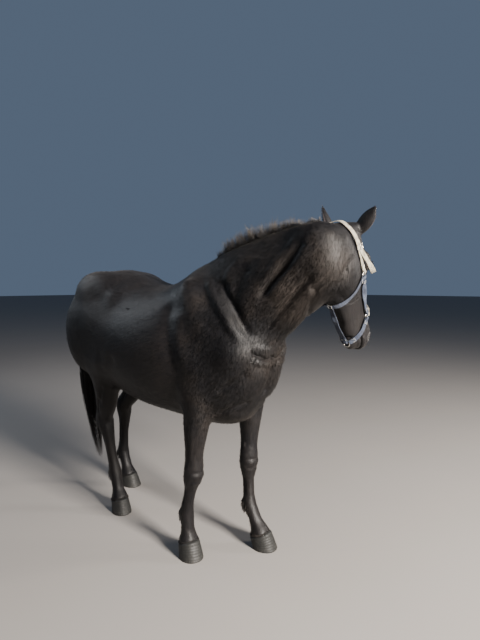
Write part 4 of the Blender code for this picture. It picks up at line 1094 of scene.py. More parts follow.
    def unwrap(self, mesh: bpy.types.Mesh) -> None:
        """Opens the skin out as sleeves, one for each part of the body, on the map of the coat's roots."""
        stance = self.stance
        faces = corners_of(mesh)
        points = coordinates(mesh)
        centres = points[faces].reshape(-1, 3, 3).mean(1)
        ahead, left, up = stance.to_body(centres).T
        head = stance.head_share(centres) > 0.5
        ear = ear_share(centres, stance) > 0.5
        neck = (ahead + 0.45 * (up - 1.2) > 0.62) & ~head
        trunk_sleeve, neck_sleeve, head_sleeve, leg_sleeve, ear_sleeve = 0, 1, 2, 3, 7
        part = np.full(len(centres), trunk_sleeve)
        part[neck] = neck_sleeve
        part[head] = head_sleeve
        low = (up < 0.74) & ~head
        part[low] = leg_sleeve + 2 * (ahead[low] <= 0.1) + (left[low] >= 0)
        part[ear] = ear_sleeve + (stance.to_head(centres[ear])[:, 2] <= 0)
        panels = {
            trunk_sleeve: Panel((0.01, 0.01), (0.60, 0.44), -0.86, 0.80),
            neck_sleeve: Panel((0.01, 0.48), (0.36, 0.20), 0.40, 1.20),
            head_sleeve: Panel((0.40, 0.48), (0.26, 0.20), -0.08, 0.64),
        }
        for k in range(4):
            panels[leg_sleeve + k] = Panel((0.01 + 0.17 * k, 0.71), (0.15, 0.25), 0.05, 0.80)
        for k in range(2):
            panels[ear_sleeve + k] = Panel((0.70, 0.48 + 0.12 * k), (0.12, 0.10), 0.0, 0.26)
        corner_part = np.repeat(part, 3)
        spots = points[faces]
        a, l, u = stance.to_body(spots).T
        d, f, x = stance.to_head(spots).T
        turn = np.zeros(len(spots))
        along = np.zeros(len(spots))
        for number, panel in panels.items():
            on = corner_part == number
            if number == trunk_sleeve:
                turn[on], along[on] = np.arctan2(l[on], u[on] - 1.06), a[on]
            elif number == neck_sleeve:
                slope = (a[on] - 0.5) * 0.80 + 1.24
                turn[on] = np.arctan2(l[on] - (a[on] - 0.5) * 0.1, u[on] - slope)
                along[on] = a[on] * 0.8 + (u[on] - 1.2) * 0.5
            elif number == head_sleeve:
                turn[on], along[on] = np.arctan2(x[on], f[on] + 0.11), d[on]
            elif number < ear_sleeve:
                leg = LEGS[number - leg_sleeve]
                joints = np.array([leg.hoof, leg.fetlock, leg.middle, leg.upper]).T
                mid_a, mid_l = (np.interp(u[on], joints[2], row) for row in joints[:2])
                turn[on], along[on] = np.arctan2(l[on] - mid_l, a[on] - mid_a), u[on]
            else:
                turn[on] = np.arctan2(f[on] + 0.02, np.abs(x[on]) - 0.08 + d[on] * 0.5)
                along[on] = 0.06 - d[on]
        turn = turn.reshape(-1, 3)
        turn = turn[:, :1] + (turn - turn[:, :1] + math.pi) % (2 * math.pi) - math.pi
        turn = turn.ravel() / (2 * math.pi) + 0.5
        rows = np.zeros((len(spots), 2))
        for number, panel in panels.items():
            on = corner_part == number
            rows[on, 0] = panel.corner[0] + panel.size[0] * (0.03 + 0.94 * turn[on])
            share = np.clip((along[on] - panel.low) / (panel.high - panel.low), 0, 1)
            rows[on, 1] = panel.corner[1] + panel.size[1] * share
        store_map(mesh, SKIN_MAP, np.clip(rows, 0.002, 0.995))


def ear_share(points: np.ndarray, stance: Stance) -> np.ndarray:
    """How far each world point belongs to an ear, from 0 to 1."""
    down, face, across = stance.to_head(points).T
    share = np.zeros(len(points))
    for ear in EARS:
        sign = ear.side.value
        axis = unit(np.array([-ear.lean[0], ear.lean[1], sign * ear.lean[2]]))
        root = np.array([ear.root[0], ear.root[1], sign * ear.root[2]])
        rel = np.stack([down, face, across], 1) - root
        height = rel @ axis
        off = np.linalg.norm(rel - height[:, None] * axis, axis=1)
        share = np.maximum(share, smooth(height, 0.012, 0.034) * smooth(off, 0.062, 0.048))
    return share


def finer(mesh: bpy.types.Mesh, places: Sequence[tuple[np.ndarray, float]]) -> None:
    """Splits the faces near some places in four.

    Args:
        mesh: The mesh to change.
        places: Pairs of a world point and how far the finer faces reach from it.
    """
    points = coordinates(mesh)
    near = np.zeros(len(points), bool)
    for spot, reach in places:
        near |= ((points - spot) ** 2).sum(1) < reach**2
    made = bmesh.new()
    made.from_mesh(mesh)
    edges = [edge for edge in made.edges if near[edge.verts[0].index] and near[edge.verts[1].index]]
    bmesh.ops.subdivide_edges(made, edges=edges, cuts=1, use_grid_fill=True)
    made.to_mesh(mesh)
    made.free()
    mesh.update()


# ---------------------------------------------------------------- finishes
class Wiring:
    """A node tree, with short ways to add its nodes and join them."""

    def __init__(self, tree: bpy.types.NodeTree) -> None:
        """Takes the tree."""
        self.tree = tree

    def feed(self, socket: Socket, value) -> None:
        """Joins a socket to another one, or sets its own value."""
        if isinstance(value, Socket):
            self.tree.links.new(value, socket)
        else:
            socket.default_value = value

    def node(self, kind: str, feeds: dict | None = None, **settings) -> bpy.types.Node:
        """Adds a node with its settings, and joins or sets its inputs by name or place."""
        made = self.tree.nodes.new(kind)
        for key, value in settings.items():
            setattr(made, key, value)
        for key, value in (feeds or {}).items():
            self.feed(made.inputs[key], value)
        return made

    def math(self, operation: str, a, b=0.5, clamp: bool = False) -> Socket:
        """Arithmetic on two numbers or sockets."""
        return self.node("ShaderNodeMath", {0: a, 1: b}, operation=operation, use_clamp=clamp).outputs[0]

    def times(self, a, b, clamp: bool = False) -> Socket:
        """The product of two numbers or sockets."""
        return self.math("MULTIPLY", a, b, clamp)

    def plus(self, a, b, clamp: bool = False) -> Socket:
        """The sum of two numbers or sockets."""
        return self.math("ADD", a, b, clamp)


class Recipe(Wiring):
    """One material's nodes."""

    def __init__(self, name: str) -> None:
        """Starts a material with one shader."""
        self.material = bpy.data.materials.new(name)
        self.material.use_nodes = True
        super().__init__(self.material.node_tree)
        self.shader = next(node for node in self.tree.nodes if node.type == "BSDF_PRINCIPLED")

    def place(self) -> Socket:
        """The piece's own coordinates, in metres."""
        return self.node("ShaderNodeTexCoord").outputs["Object"]

    def attribute(self, name: str, output: str = "Fac") -> Socket:
        """An attribute stored on the piece."""
        return self.node("ShaderNodeAttribute", attribute_name=name).outputs[output]

    def parts(self, vector: Socket) -> tuple:
        """The three parts of a vector."""
        return tuple(self.node("ShaderNodeSeparateXYZ", {0: vector}).outputs)

    def vector(self, x, y, z) -> Socket:
        """A vector from three numbers or sockets."""
        return self.node("ShaderNodeCombineXYZ", {0: x, 1: y, 2: z}).outputs[0]

    def along(self, vector: Socket, axis: Sequence[float], scale: float) -> Socket:
        """How far a place lies along an axis, times a scale."""
        feeds = {0: vector, 1: tuple(v * scale for v in axis)}
        return self.node("ShaderNodeVectorMath", feeds, operation="DOT_PRODUCT").outputs["Value"]

    def noise(self, vector: Socket, scale: float, detail: float = 3.0, rough: float = 0.55) -> Socket:
        """Smooth noise from 0 to 1."""
        feeds = {"Vector": vector, "Scale": scale, "Detail": detail, "Roughness": rough}
        return self.node("ShaderNodeTexNoise", feeds).outputs["Fac"]

    def graded(self, value, low: float, high: float, start: float = 0.0, end: float = 1.0) -> Socket:
        """A number eased from start to end as the value goes from low to high."""
        feeds = {"Value": value, "From Min": low, "From Max": high, "To Min": start, "To Max": end}
        return self.node("ShaderNodeMapRange", feeds, interpolation_type="SMOOTHSTEP").outputs["Result"]

    def mixed(self, share, a, b) -> Socket:
        """A colour between two colours."""
        a, b = (value if isinstance(value, Socket) else (*value, 1.0) for value in (a, b))
        return self.node("ShaderNodeMix", {"Factor": share, 6: a, 7: b}, data_type="RGBA").outputs[2]

    def between(self, share, a, b) -> Socket:
        """A number between two numbers."""
        return self.node("ShaderNodeMix", {"Factor": share, 2: a, 3: b}, data_type="FLOAT").outputs[0]

    def settled(self, name: str, share: float) -> Socket:
        """The piece's own normal, turned most of the way to one stored on it."""
        own, ground = self.node("ShaderNodeNewGeometry").outputs["Normal"], self.attribute(name, "Vector")
        own, ground = (
            self.node("ShaderNodeVectorMath", {0: vector, "Scale": part}, operation="SCALE").outputs[0]
            for vector, part in ((own, 1.0 - share), (ground, share))
        )
        both = self.node("ShaderNodeVectorMath", {0: own, 1: ground}, operation="ADD").outputs[0]
        return self.node("ShaderNodeVectorMath", {0: both}, operation="NORMALIZE").outputs[0]

    def raised(self, height, distance: float, strength: float = 1.0, normal: Socket | None = None) -> None:
        """Turns a height into bump on the shader."""
        feeds = {"Strength": strength, "Distance": distance, "Height": height}
        if normal is not None:
            feeds["Normal"] = normal
        self.feed(self.shader.inputs["Normal"], self.node("ShaderNodeBump", feeds).outputs["Normal"])

    def set(self, **values) -> None:
        """Sets or joins the shader's sockets, named with underscores for spaces."""
        for key, value in values.items():
            self.feed(self.shader.inputs[key.replace("_", " ")], value)


@dataclass(frozen=True)
class CoatFinish:
    """Short black hair lying flat, browner in patches and most on the neck, chest and croup, partly real
    sun-bleach and partly painted sunlit sheen, and bare dark skin.
    """

    name: str
    black: Point
    brown: Point
    skin: Point
    gloss: float
    tips: bool = False
    lining: Point = (0.105, 0.085, 0.086)
    bare_rough: float = 0.46
    ground_share: float = 0.92

    def streaks(self, recipe: Recipe, long_scale: float, fine_scale: float) -> Socket:
        """Noise drawn out along the lie of the coat, which differs from one part of the body to another."""
        place = recipe.place()
        flow = recipe.parts(recipe.attribute("flow", "Vector"))
        looks = []
        for axis in ((0.0, 0.96, -0.28), (0.0, 0.10, -0.99), (0.40, 0.10, -0.91), (0.0, 0.62, -0.78)):
            main = Vector(axis).normalized()
            second = main.cross(Vector((1.0, 0.0, 0.0))).normalized()
            third = main.cross(second)
            vector = recipe.vector(
                recipe.along(place, main, long_scale), recipe.along(place, second, fine_scale),
                recipe.along(place, third, fine_scale),
            )
            looks.append(recipe.noise(vector, 1.0, 2.0, 0.6))
        value = looks[3]
        for share, look in zip(flow, looks):
            value = recipe.between(share, value, look)
        return value

    def made(self) -> bpy.types.Material:
        """Builds the material."""
        recipe = Recipe(self.name)
        place = recipe.place()
        fine = self.streaks(recipe, 52.0, 420.0)
        wide = self.streaks(recipe, 14.0, 85.0)
        flow = recipe.parts(recipe.attribute("flow", "Vector"))
        bare = recipe.attribute("bare")
        covered = recipe.plus(recipe.plus(flow[0], flow[1]), flow[2])
        slope = recipe.math("SUBTRACT", 1.0, covered, True)
        patchy = recipe.graded(recipe.noise(place, 3.2, 4.0, 0.6), 0.40, 0.66)
        # browner on the neck, chest and croup: partly sun-bleached hair, partly painted sunlit sheen where
        # those parts face the light
        bleach_and_painted_sun = recipe.times(recipe.plus(recipe.times(slope, 0.55), 0.22), patchy)
        strand = recipe.graded(fine, 0.40, 0.72, 0.0, 0.55)
        share = recipe.plus(bleach_and_painted_sun, recipe.times(strand, recipe.graded(wide, 0.35, 0.70, 0.15, 0.75)), True)
        colour = recipe.mixed(share, self.black, self.brown)
        if self.tips:
            along = recipe.parts(recipe.attribute("patch", "Vector"))[1]
            share = recipe.times(share, recipe.graded(along, 0.0, 0.8, 0.80, 1.20), True)
        pores = recipe.noise(place, 900.0, 2.0)
        colour = recipe.mixed(bare, colour, self.skin)
        inner = recipe.times(recipe.attribute("inner"), recipe.graded(wide, 0.25, 0.75, 0.55, 1.0))
        recipe.set(Base_Color=recipe.mixed(inner, colour, self.lining))
        rough = recipe.plus(recipe.graded(fine, 0.3, 0.7, 0.40, 0.54), recipe.times(slope, 0.10))
        rough = recipe.plus(rough, recipe.times(flow[2], 0.10))
        recipe.set(Roughness=recipe.between(bare, rough, self.bare_rough), Specular_IOR_Level=self.gloss)
        recipe.set(Sheen_Weight=0.03, Sheen_Roughness=0.40, Sheen_Tint=(0.80, 0.72, 0.64, 1.0))
        hair = recipe.plus(recipe.times(fine, 0.75), recipe.times(wide, 0.9))
        ground = recipe.settled("ground", self.ground_share) if self.tips else None
        recipe.raised(recipe.between(bare, hair, pores), 0.0011, 0.75, ground)
        return recipe.material


@dataclass(frozen=True)
class LongHairFinish:
    """Coarse hair of the mane or tail, black at the root and browner towards its tip; on the mane the pale
    tips are partly browned hair and partly painted sunlit glint.
    """

    name: str
    root: Point
    tip: Point
    rough: float

    def made(self) -> bpy.types.Material:
        """Builds the material."""
        recipe = Recipe(self.name)
        place = recipe.place()
        across, along, _ = recipe.parts(recipe.attribute("patch", "Vector"))
        locks = recipe.noise(place, 60.0, 3.0)
        share = recipe.times(recipe.graded(along, 0.25, 1.0), recipe.graded(locks, 0.35, 0.65, 0.25, 1.0))
        recipe.set(Base_Color=recipe.mixed(share, self.root, self.tip))
        recipe.set(
            Roughness=recipe.graded(locks, 0.3, 0.7, self.rough - 0.07, self.rough + 0.07),
            Specular_IOR_Level=0.32,
        )
        grain = recipe.noise(recipe.vector(recipe.times(across, 9.0), along, 0.0), 1.0, 2.0)
        recipe.raised(grain, 0.0004, 0.5)
        return recipe.material


@dataclass(frozen=True)
class HornFinish:
    """The slate horn of a hoof, ringed as it grew, scuffed and dusty near the ground."""

    horn: Point = (0.0075, 0.0076, 0.0074)
    pale: Point = (0.0150, 0.0150, 0.0135)
    dust: Point = (0.036, 0.033, 0.028)
    sole: Point = (0.075, 0.068, 0.056)

    def made(self) -> bpy.types.Material:
        """Builds the material."""
        recipe = Recipe("hoof_horn")
        place = recipe.place()
        turn, height, sole = recipe.parts(recipe.attribute("horn", "Vector"))
        long_lines = recipe.vector(recipe.times(turn, 46.0), recipe.times(height, 2.2), 0.0)
        cross_lines = recipe.vector(recipe.times(turn, 0.8), recipe.times(height, 17.0), 3.0)
        fibre, rings = recipe.noise(long_lines, 1.0, 3.0), recipe.noise(cross_lines, 1.0, 2.0)
        colour = recipe.mixed(recipe.graded(fibre, 0.35, 0.75), self.horn, self.pale)
        colour = recipe.mixed(recipe.graded(rings, 0.52, 0.72, 0.0, 0.30), colour, self.pale)
        scuffs = recipe.graded(recipe.noise(place, 130.0, 5.0, 0.7), 0.48, 0.66)
        low = recipe.times(recipe.graded(height, 0.50, 0.02, 0.08, 0.85), scuffs)
        colour = recipe.mixed(low, colour, self.dust)
        recipe.set(Base_Color=recipe.mixed(sole, colour, self.sole))
        recipe.set(Roughness=recipe.graded(scuffs, 0.0, 1.0, 0.54, 0.80), Specular_IOR_Level=0.30)
        height_map = recipe.plus(recipe.times(rings, 0.75), recipe.times(fibre, 0.5))
        recipe.raised(recipe.plus(height_map, recipe.times(scuffs, 0.3)), 0.0009, 0.8)
        return recipe.material


@dataclass(frozen=True)
class EyeFinish:
    """A wet dark-brown eye with a wide pupil lying level."""

    iris: Point = (0.020, 0.0095, 0.0042)
    rim: Point = (0.0060, 0.0045, 0.0040)
    white: Point = (0.045, 0.034, 0.028)
    pupil: Point = (0.0015, 0.0015, 0.002)

    def made(self) -> bpy.types.Material:
        """Builds the material."""
        recipe = Recipe("eye_wet")
        across, up, _ = recipe.parts(recipe.attribute("gaze", "Vector"))

        def ring_of(wide: float, tall: float) -> Socket:
            """How far out a place lies, in units of an oval."""
            x = recipe.math("POWER", recipe.math("ABSOLUTE", recipe.math("DIVIDE", across, wide)), 2.0)
            y = recipe.math("POWER", recipe.math("ABSOLUTE", recipe.math("DIVIDE", up, tall)), 2.0)
            return recipe.math("SQRT", recipe.plus(x, y))

        turn = recipe.math("ARCTAN2", up, across)
        fibres = recipe.noise(recipe.vector(recipe.times(turn, 9.0), ring_of(1.0, 1.0), 0.0), 1.0, 3.0)
        iris = recipe.mixed(recipe.graded(fibres, 0.35, 0.70), self.rim, self.iris)
        iris = recipe.mixed(recipe.graded(ring_of(0.42, 0.20), 1.10, 0.90), iris, self.pupil)
        colour = recipe.mixed(recipe.graded(ring_of(0.74, 0.62), 0.94, 1.06), iris, self.rim)
        colour = recipe.mixed(recipe.graded(ring_of(0.90, 0.84), 0.95, 1.12, 0.0, 0.55), colour, self.white)
        recipe.set(
            Base_Color=colour, Roughness=0.30, Specular_IOR_Level=0.35, Coat_Weight=0.75,
            Coat_Roughness=0.04,
        )
        return recipe.material


@dataclass(frozen=True)
class WebbingFinish:
    """Flat woven webbing: its ribs, selvages, fading and dirt, on a map in metres along and across it."""

    name: str
    thread: Point
    faded: Point
    dirt: Point
    soil: float
    nap: float = 0.10
    rib: float = 0.0021
    warp: float = 0.0013

    def made(self) -> bpy.types.Material:
        """Builds the material."""
        recipe = Recipe(self.name)
        place = recipe.place()
        u, v, _ = recipe.parts(recipe.node("ShaderNodeUVMap", uv_map="Weave").outputs[0])
        across = recipe.math("ABSOLUTE", v)
        slant = recipe.plus(u, recipe.times(across, 1.1))
        twill = recipe.math("SINE", recipe.times(slant, 2 * math.pi / self.rib))
        warp = recipe.math("SINE", recipe.times(v, 2 * math.pi / self.warp))
        weave = recipe.plus(recipe.times(twill, 0.55), recipe.times(warp, 0.45))
        valley = recipe.graded(weave, -0.2, -0.9)
        grime = recipe.graded(recipe.noise(place, 55.0, 5.0, 0.65), 0.42, 0.68)
        edge = recipe.graded(across, 0.0085, 0.0118)
        colour = recipe.mixed(
            recipe.graded(recipe.noise(place, 24.0, 3.0), 0.35, 0.65), self.thread, self.faded
        )
        # the weave's valleys are drawn darker, mixed part way to the dirt colour
        colour = recipe.mixed(recipe.times(valley, 0.55), colour, self.dirt)
        worn = recipe.times(recipe.plus(grime, recipe.times(edge, 0.35)), self.soil, True)
        recipe.set(
            Base_Color=recipe.mixed(worn, colour, self.dirt),
            Roughness=recipe.graded(grime, 0.0, 1.0, 0.72, 0.88),
        )
        recipe.set(Sheen_Weight=self.nap, Specular_IOR_Level=0.22)
        fuzz = recipe.noise(place, 1400.0, 2.0)
        recipe.raised(recipe.plus(weave, recipe.times(fuzz, 0.6)), 0.00045, 0.9)
        return recipe.material


@dataclass(frozen=True)
class MetalFinish:
    """Plated steel, rubbed bright in places and dulled in others."""

    name: str
    bright: Point
    dull: Point

    def made(self) -> bpy.types.Material:
        """Builds the material."""
        recipe = Recipe(self.name)
        place = recipe.place()
        tarnish = recipe.graded(recipe.noise(place, 160.0, 5.0, 0.7), 0.40, 0.66)
        recipe.set(Base_Color=recipe.mixed(tarnish, self.bright, self.dull), Metallic=1.0)
        recipe.set(Roughness=recipe.graded(tarnish, 0.0, 1.0, 0.22, 0.50))
        recipe.raised(recipe.noise(place, 700.0, 3.0), 0.0002, 0.5)
        return recipe.material


@dataclass(frozen=True)
class FloorFinish:
    """A plain pale floor."""

    colour: Point = (0.215, 0.202, 0.190)

    def made(self) -> bpy.types.Material:
        """Builds the material."""
        recipe = Recipe("pale_floor")
        tone = recipe.noise(recipe.place(), 1.3, 4.0)
        darker = tuple(value * 0.94 for value in self.colour)
        recipe.set(Base_Color=recipe.mixed(tone, self.colour, darker), Roughness=0.85, Specular_IOR_Level=0.2)
        return recipe.material


class Finishes:
    """Every finish of the horse and its halter, built once."""

    def __init__(self) -> None:
        """Builds the materials."""
        self.coat = CoatFinish("black_coat", (0.0028, 0.0028, 0.0037), (0.0185, 0.0146, 0.0122),
                               (0.0120, 0.0110, 0.0112), 0.22).made()
        self.tufts = CoatFinish("coat_tufts", (0.0034, 0.0033, 0.0041), (0.0220, 0.0172, 0.0142),
                                (0.0140, 0.0125, 0.0125), 0.22, True).made()
        # the mane's pale tip colour is partly browned hair and partly painted sunlit glint on the strands
        self.mane = LongHairFinish(
            "mane_strands", (0.0060, 0.0056, 0.0060), (0.0720, 0.0600, 0.0480), 0.42
        ).made()
        self.tail = LongHairFinish(
            "tail_strands", (0.0050, 0.0048, 0.0056), (0.0190, 0.0140, 0.0108), 0.42
        ).made()
        self.horn = HornFinish().made()
        self.eye = EyeFinish().made()
        self.pale_webbing = WebbingFinish(
            "pale_webbing", (0.29, 0.262, 0.200), (0.36, 0.335, 0.275), (0.10, 0.086, 0.066), 0.80
        ).made()
        self.dark_webbing = WebbingFinish(
            "slate_webbing", (0.022, 0.030, 0.052), (0.050, 0.062, 0.092), (0.018, 0.018, 0.021), 0.60, 0.02
        ).made()
        self.thread = WebbingFinish(
            "stitch_thread", (0.60, 0.58, 0.52), (0.50, 0.48, 0.44), (0.22, 0.19, 0.16), 0.30
        ).made()
        self.steel = MetalFinish("ring_steel", (0.62, 0.61, 0.58), (0.30, 0.28, 0.25)).made()
        self.floor = FloorFinish().made()


# ---------------------------------------------------------------- geometry-node trees
class Planter(Wiring):
    """A Geometry Nodes tree that puts many copies of a small shape in place, made real and dressed."""

    def __init__(self, name: str, inputs: dict[str, str]) -> None:
        """Starts the tree.

        Args:
            name: The tree's name.
            inputs: Each named input and its kind of socket.
        """
        super().__init__(bpy.data.node_groups.new(name, "GeometryNodeTree"))
        self.tree.interface.new_socket("Geometry", in_out="OUTPUT", socket_type="NodeSocketGeometry")
        self.keys: dict[str, str] = {}
        for label, kind in {"Geometry": "NodeSocketGeometry", **inputs}.items():
            made = self.tree.interface.new_socket(label, in_out="INPUT", socket_type=kind)
            self.keys[label] = made.identifier
        self.source = self.tree.nodes.new("NodeGroupInput")
        self.sink = self.tree.nodes.new("NodeGroupOutput")

    def given(self, label: str) -> Socket:
        """One of the tree's inputs."""
        return self.source.outputs[label]

    def named(self, name: str, kind: str = "FLOAT") -> Socket:
        """An attribute of the geometry."""
        return self.node(
            "GeometryNodeInputNamedAttribute", {"Name": name}, data_type=kind
        ).outputs["Attribute"]

    def vector(self, operation: str, a, b=None, scale=None) -> Socket:
        """Vector arithmetic."""
        feeds = {0: a}
        if b is not None:
            feeds[1] = b
        if scale is not None:
            feeds["Scale"] = scale
        return self.node("ShaderNodeVectorMath", feeds, operation=operation).outputs["Vector"]

    def chance(self, low: float, high: float, seed) -> Socket:
        """A random number for each element."""
        return self.node(
            "FunctionNodeRandomValue", {2: low, 3: high, "Seed": seed}, data_type="FLOAT"
        ).outputs[1]

    def chance_vector(self, reach: float, seed) -> Socket:
        """A random vector for each element."""
        low, high = (-reach,) * 3, (reach,) * 3
        return self.node(
            "FunctionNodeRandomValue", {0: low, 1: high, "Seed": seed}, data_type="FLOAT_VECTOR"
        ).outputs[0]

    def turned(self, aim: Socket, comb: Socket) -> Socket:
        """The rotation that lays a shape's length along its aim and its front towards its comb."""
        axes = {"primary_axis": "Z", "secondary_axis": "X"}
        return self.node("FunctionNodeAxesToRotation", {0: aim, 1: comb}, **axes).outputs[0]

    def stored(self, geometry: Socket, name: str, value: Socket, kind: str, domain: str = "POINT") -> Socket:
        """The geometry with a value stored on it."""
        return self.node(
            "GeometryNodeStoreNamedAttribute", {"Geometry": geometry, "Name": name, "Value": value},
            data_type=kind, domain=domain,
        ).outputs[0]

    def planted(self, points: Socket, label: str, turned: Socket, size: Socket) -> Socket:
        """Copies of the shape given under a label, one at each point."""
        shape = self.node("GeometryNodeObjectInfo", {"Object": self.given(label)}).outputs["Geometry"]
        feeds = {"Points": points, "Instance": shape, "Rotation": turned, "Scale": size}
        return self.node("GeometryNodeInstanceOnPoints", feeds).outputs[0]

    def finish(self, instances: Socket, root_map: str) -> None:
        """Makes the copies real, gives each one its patch of the bake map, and dresses them.

        Args:
            instances: The instances, or a mesh.
            root_map: The attribute with the root's place on the skin's unwrap.
        """
        real = self.node("GeometryNodeRealizeInstances", {"Geometry": instances}).outputs[0]
        patch = self.vector("SCALE", self.named("patch", "FLOAT_VECTOR"), scale=PATCH)
        place = self.vector("ADD", self.named(root_map, "FLOAT_VECTOR"), patch)
        mapped = self.stored(real, BAKE_MAP, place, "FLOAT2", "CORNER")
        shaded = self.node("GeometryNodeSetShadeSmooth", {"Geometry": mapped}).outputs[0]
        dressed = self.node(
            "GeometryNodeSetMaterial", {"Geometry": shaded, "Material": self.given("Finish")}
        ).outputs[0]
        self.tree.links.new(dressed, self.sink.inputs[0])

    def run(self, name: str, obj: bpy.types.Object, values: dict) -> bpy.types.Object:
        """Runs the tree on an object.

        Args:
            name: The name of the piece it makes.
            obj: The object with the geometry to work on; it is left as it was.
            values: The tree's named inputs.

        Returns:
            The piece, as a plain mesh.
        """
        change = obj.modifiers.new(self.tree.name, "NODES")
        change.node_group = self.tree
        for label, value in values.items():
            change[self.keys[label]] = value
        piece = bpy.data.objects.new(name, settled(obj))
        piece.data.name = name
        bpy.context.scene.collection.objects.link(piece)
        keep = {BAKE_MAP, "patch", "flow", "bare", "inner", "ground", "position", "Weave"}
        for attribute in list(piece.data.attributes):
            if attribute.name not in keep and not attribute.name.startswith((".", "material", "sharp")):
                piece.data.attributes.remove(piece.data.attributes[attribute.name])
        return piece


def scatter_tree() -> Planter:
    """The tree that strews tufts over the skin along the lie of the coat."""
    tree = Planter("coat_scatter", {
        "Tuft": "NodeSocketObject", "Region": "NodeSocketFloat", "Density": "NodeSocketFloat",
        "Seed": "NodeSocketInt", "Finish": "NodeSocketMaterial",
    })
    same = tree.node(
        "FunctionNodeCompare", {0: tree.named("region"), 1: tree.given("Region"), "Epsilon": 0.49},
        data_type="FLOAT", operation="EQUAL",
    ).outputs[0]
    thick = tree.times(tree.times(tree.named("fur_density"), tree.given("Density")), same)
    strewn = tree.node("GeometryNodeDistributePointsOnFaces",
                       {"Mesh": tree.given("Geometry"), "Density": thick, "Seed": tree.given("Seed")})
    normal = strewn.outputs["Normal"]
    rooted = tree.stored(strewn.outputs["Points"], "ground", normal, "FLOAT_VECTOR")
    stray = tree.chance_vector(0.20, 3)
    lift = tree.times(tree.named("fur_lift"), tree.chance(0.3, 1.9, 5))
    aim = tree.vector("ADD", tree.named("lie", "FLOAT_VECTOR"), stray)
    aim = tree.vector("ADD", aim, tree.vector("SCALE", normal, scale=lift))
    size = tree.times(tree.named("fur_length"), tree.chance(0.70, 1.30, 7))
    tree.finish(tree.planted(rooted, "Tuft", tree.turned(aim, normal), size), SKIN_MAP)
    return tree


def planting_tree() -> Planter:
    """The tree that plants a shape at each given point, along its own aim."""
    tree = Planter("planted", {"Shape": "NodeSocketObject", "Finish": "NodeSocketMaterial"})
    turned = tree.turned(tree.named("aim", "FLOAT_VECTOR"), tree.named("comb", "FLOAT_VECTOR"))
    points = tree.node("GeometryNodeMeshToPoints", {"Mesh": tree.given("Geometry")}).outputs[0]
    tree.finish(tree.planted(points, "Shape", turned, tree.named("size")), "root_map")
    return tree


def strand_tree() -> Planter:
    """The tree that turns guide lines into locks of many tapering strands."""
    tree = Planter("strands", {
        "Strands": "NodeSocketInt", "Steps": "NodeSocketInt", "Spread": "NodeSocketFloat",
        "Thickness": "NodeSocketFloat", "Finish": "NodeSocketMaterial",
    })
    lines = tree.node("GeometryNodeMeshToCurve", {"Mesh": tree.given("Geometry")}).outputs[0]
    even = tree.node("GeometryNodeResampleCurve", {"Curve": lines, "Count": tree.given("Steps")}).outputs[0]
    copies = {"Geometry": even, "Amount": tree.given("Strands")}
    copied = tree.node("GeometryNodeDuplicateElements", copies, domain="SPLINE").outputs[0]
    share = tree.node("GeometryNodeSplineParameter").outputs["Factor"]
    strand = tree.node("GeometryNodeCurveOfPoint").outputs["Curve Index"]
    bounds = {0: (-1.0,) * 3, 1: (1.0,) * 3, "ID": strand, "Seed": 11}
    across = tree.node("FunctionNodeRandomValue", bounds, data_type="FLOAT_VECTOR").outputs[0]
    place = tree.vector("SCALE", tree.node("GeometryNodeInputPosition").outputs[0], scale=7.0)
    place = tree.vector("ADD", place, tree.vector("SCALE", across, scale=2.1))
    drift = tree.node("ShaderNodeTexNoise", {"Vector": place, "Scale": 1.0, "Detail": 1.0}).outputs["Color"]
    wave = tree.vector(
        "SCALE", tree.vector("SUBTRACT", drift, (0.5, 0.5, 0.5)), scale=tree.times(share, 0.045)
    )
    curve = tree.plus(0.35, tree.times(share, 0.65))
    gather = tree.math("SUBTRACT", 1.0, tree.times(tree.math("POWER", share, 3.0), 0.55))
    offset = tree.vector("SCALE", across, scale=tree.times(tree.times(curve, gather), tree.given("Spread")))
    offset = tree.vector("ADD", offset, wave)
    moved = tree.node("GeometryNodeSetPosition", {"Geometry": copied, "Offset": offset}).outputs[0]
    taper = tree.times(tree.given("Thickness"), tree.math("SUBTRACT", 1.02, tree.math("POWER", share, 2.2)))
    kept = tree.stored(moved, "along", share, "FLOAT")
    ring = tree.node("GeometryNodeCurvePrimitiveCircle", {"Resolution": 3, "Radius": 1.0}).outputs["Curve"]
    solid = tree.node("GeometryNodeCurveToMesh",
                      {"Curve": kept, "Profile Curve": ring, "Scale": taper, "Fill Caps": True}).outputs[0]
    patch = tree.node("ShaderNodeCombineXYZ", {0: 0.5, 1: tree.named("along"), 2: 0.0}).outputs[0]
    tree.finish(tree.stored(solid, "patch", patch, "FLOAT_VECTOR"), "root_map")
    return tree


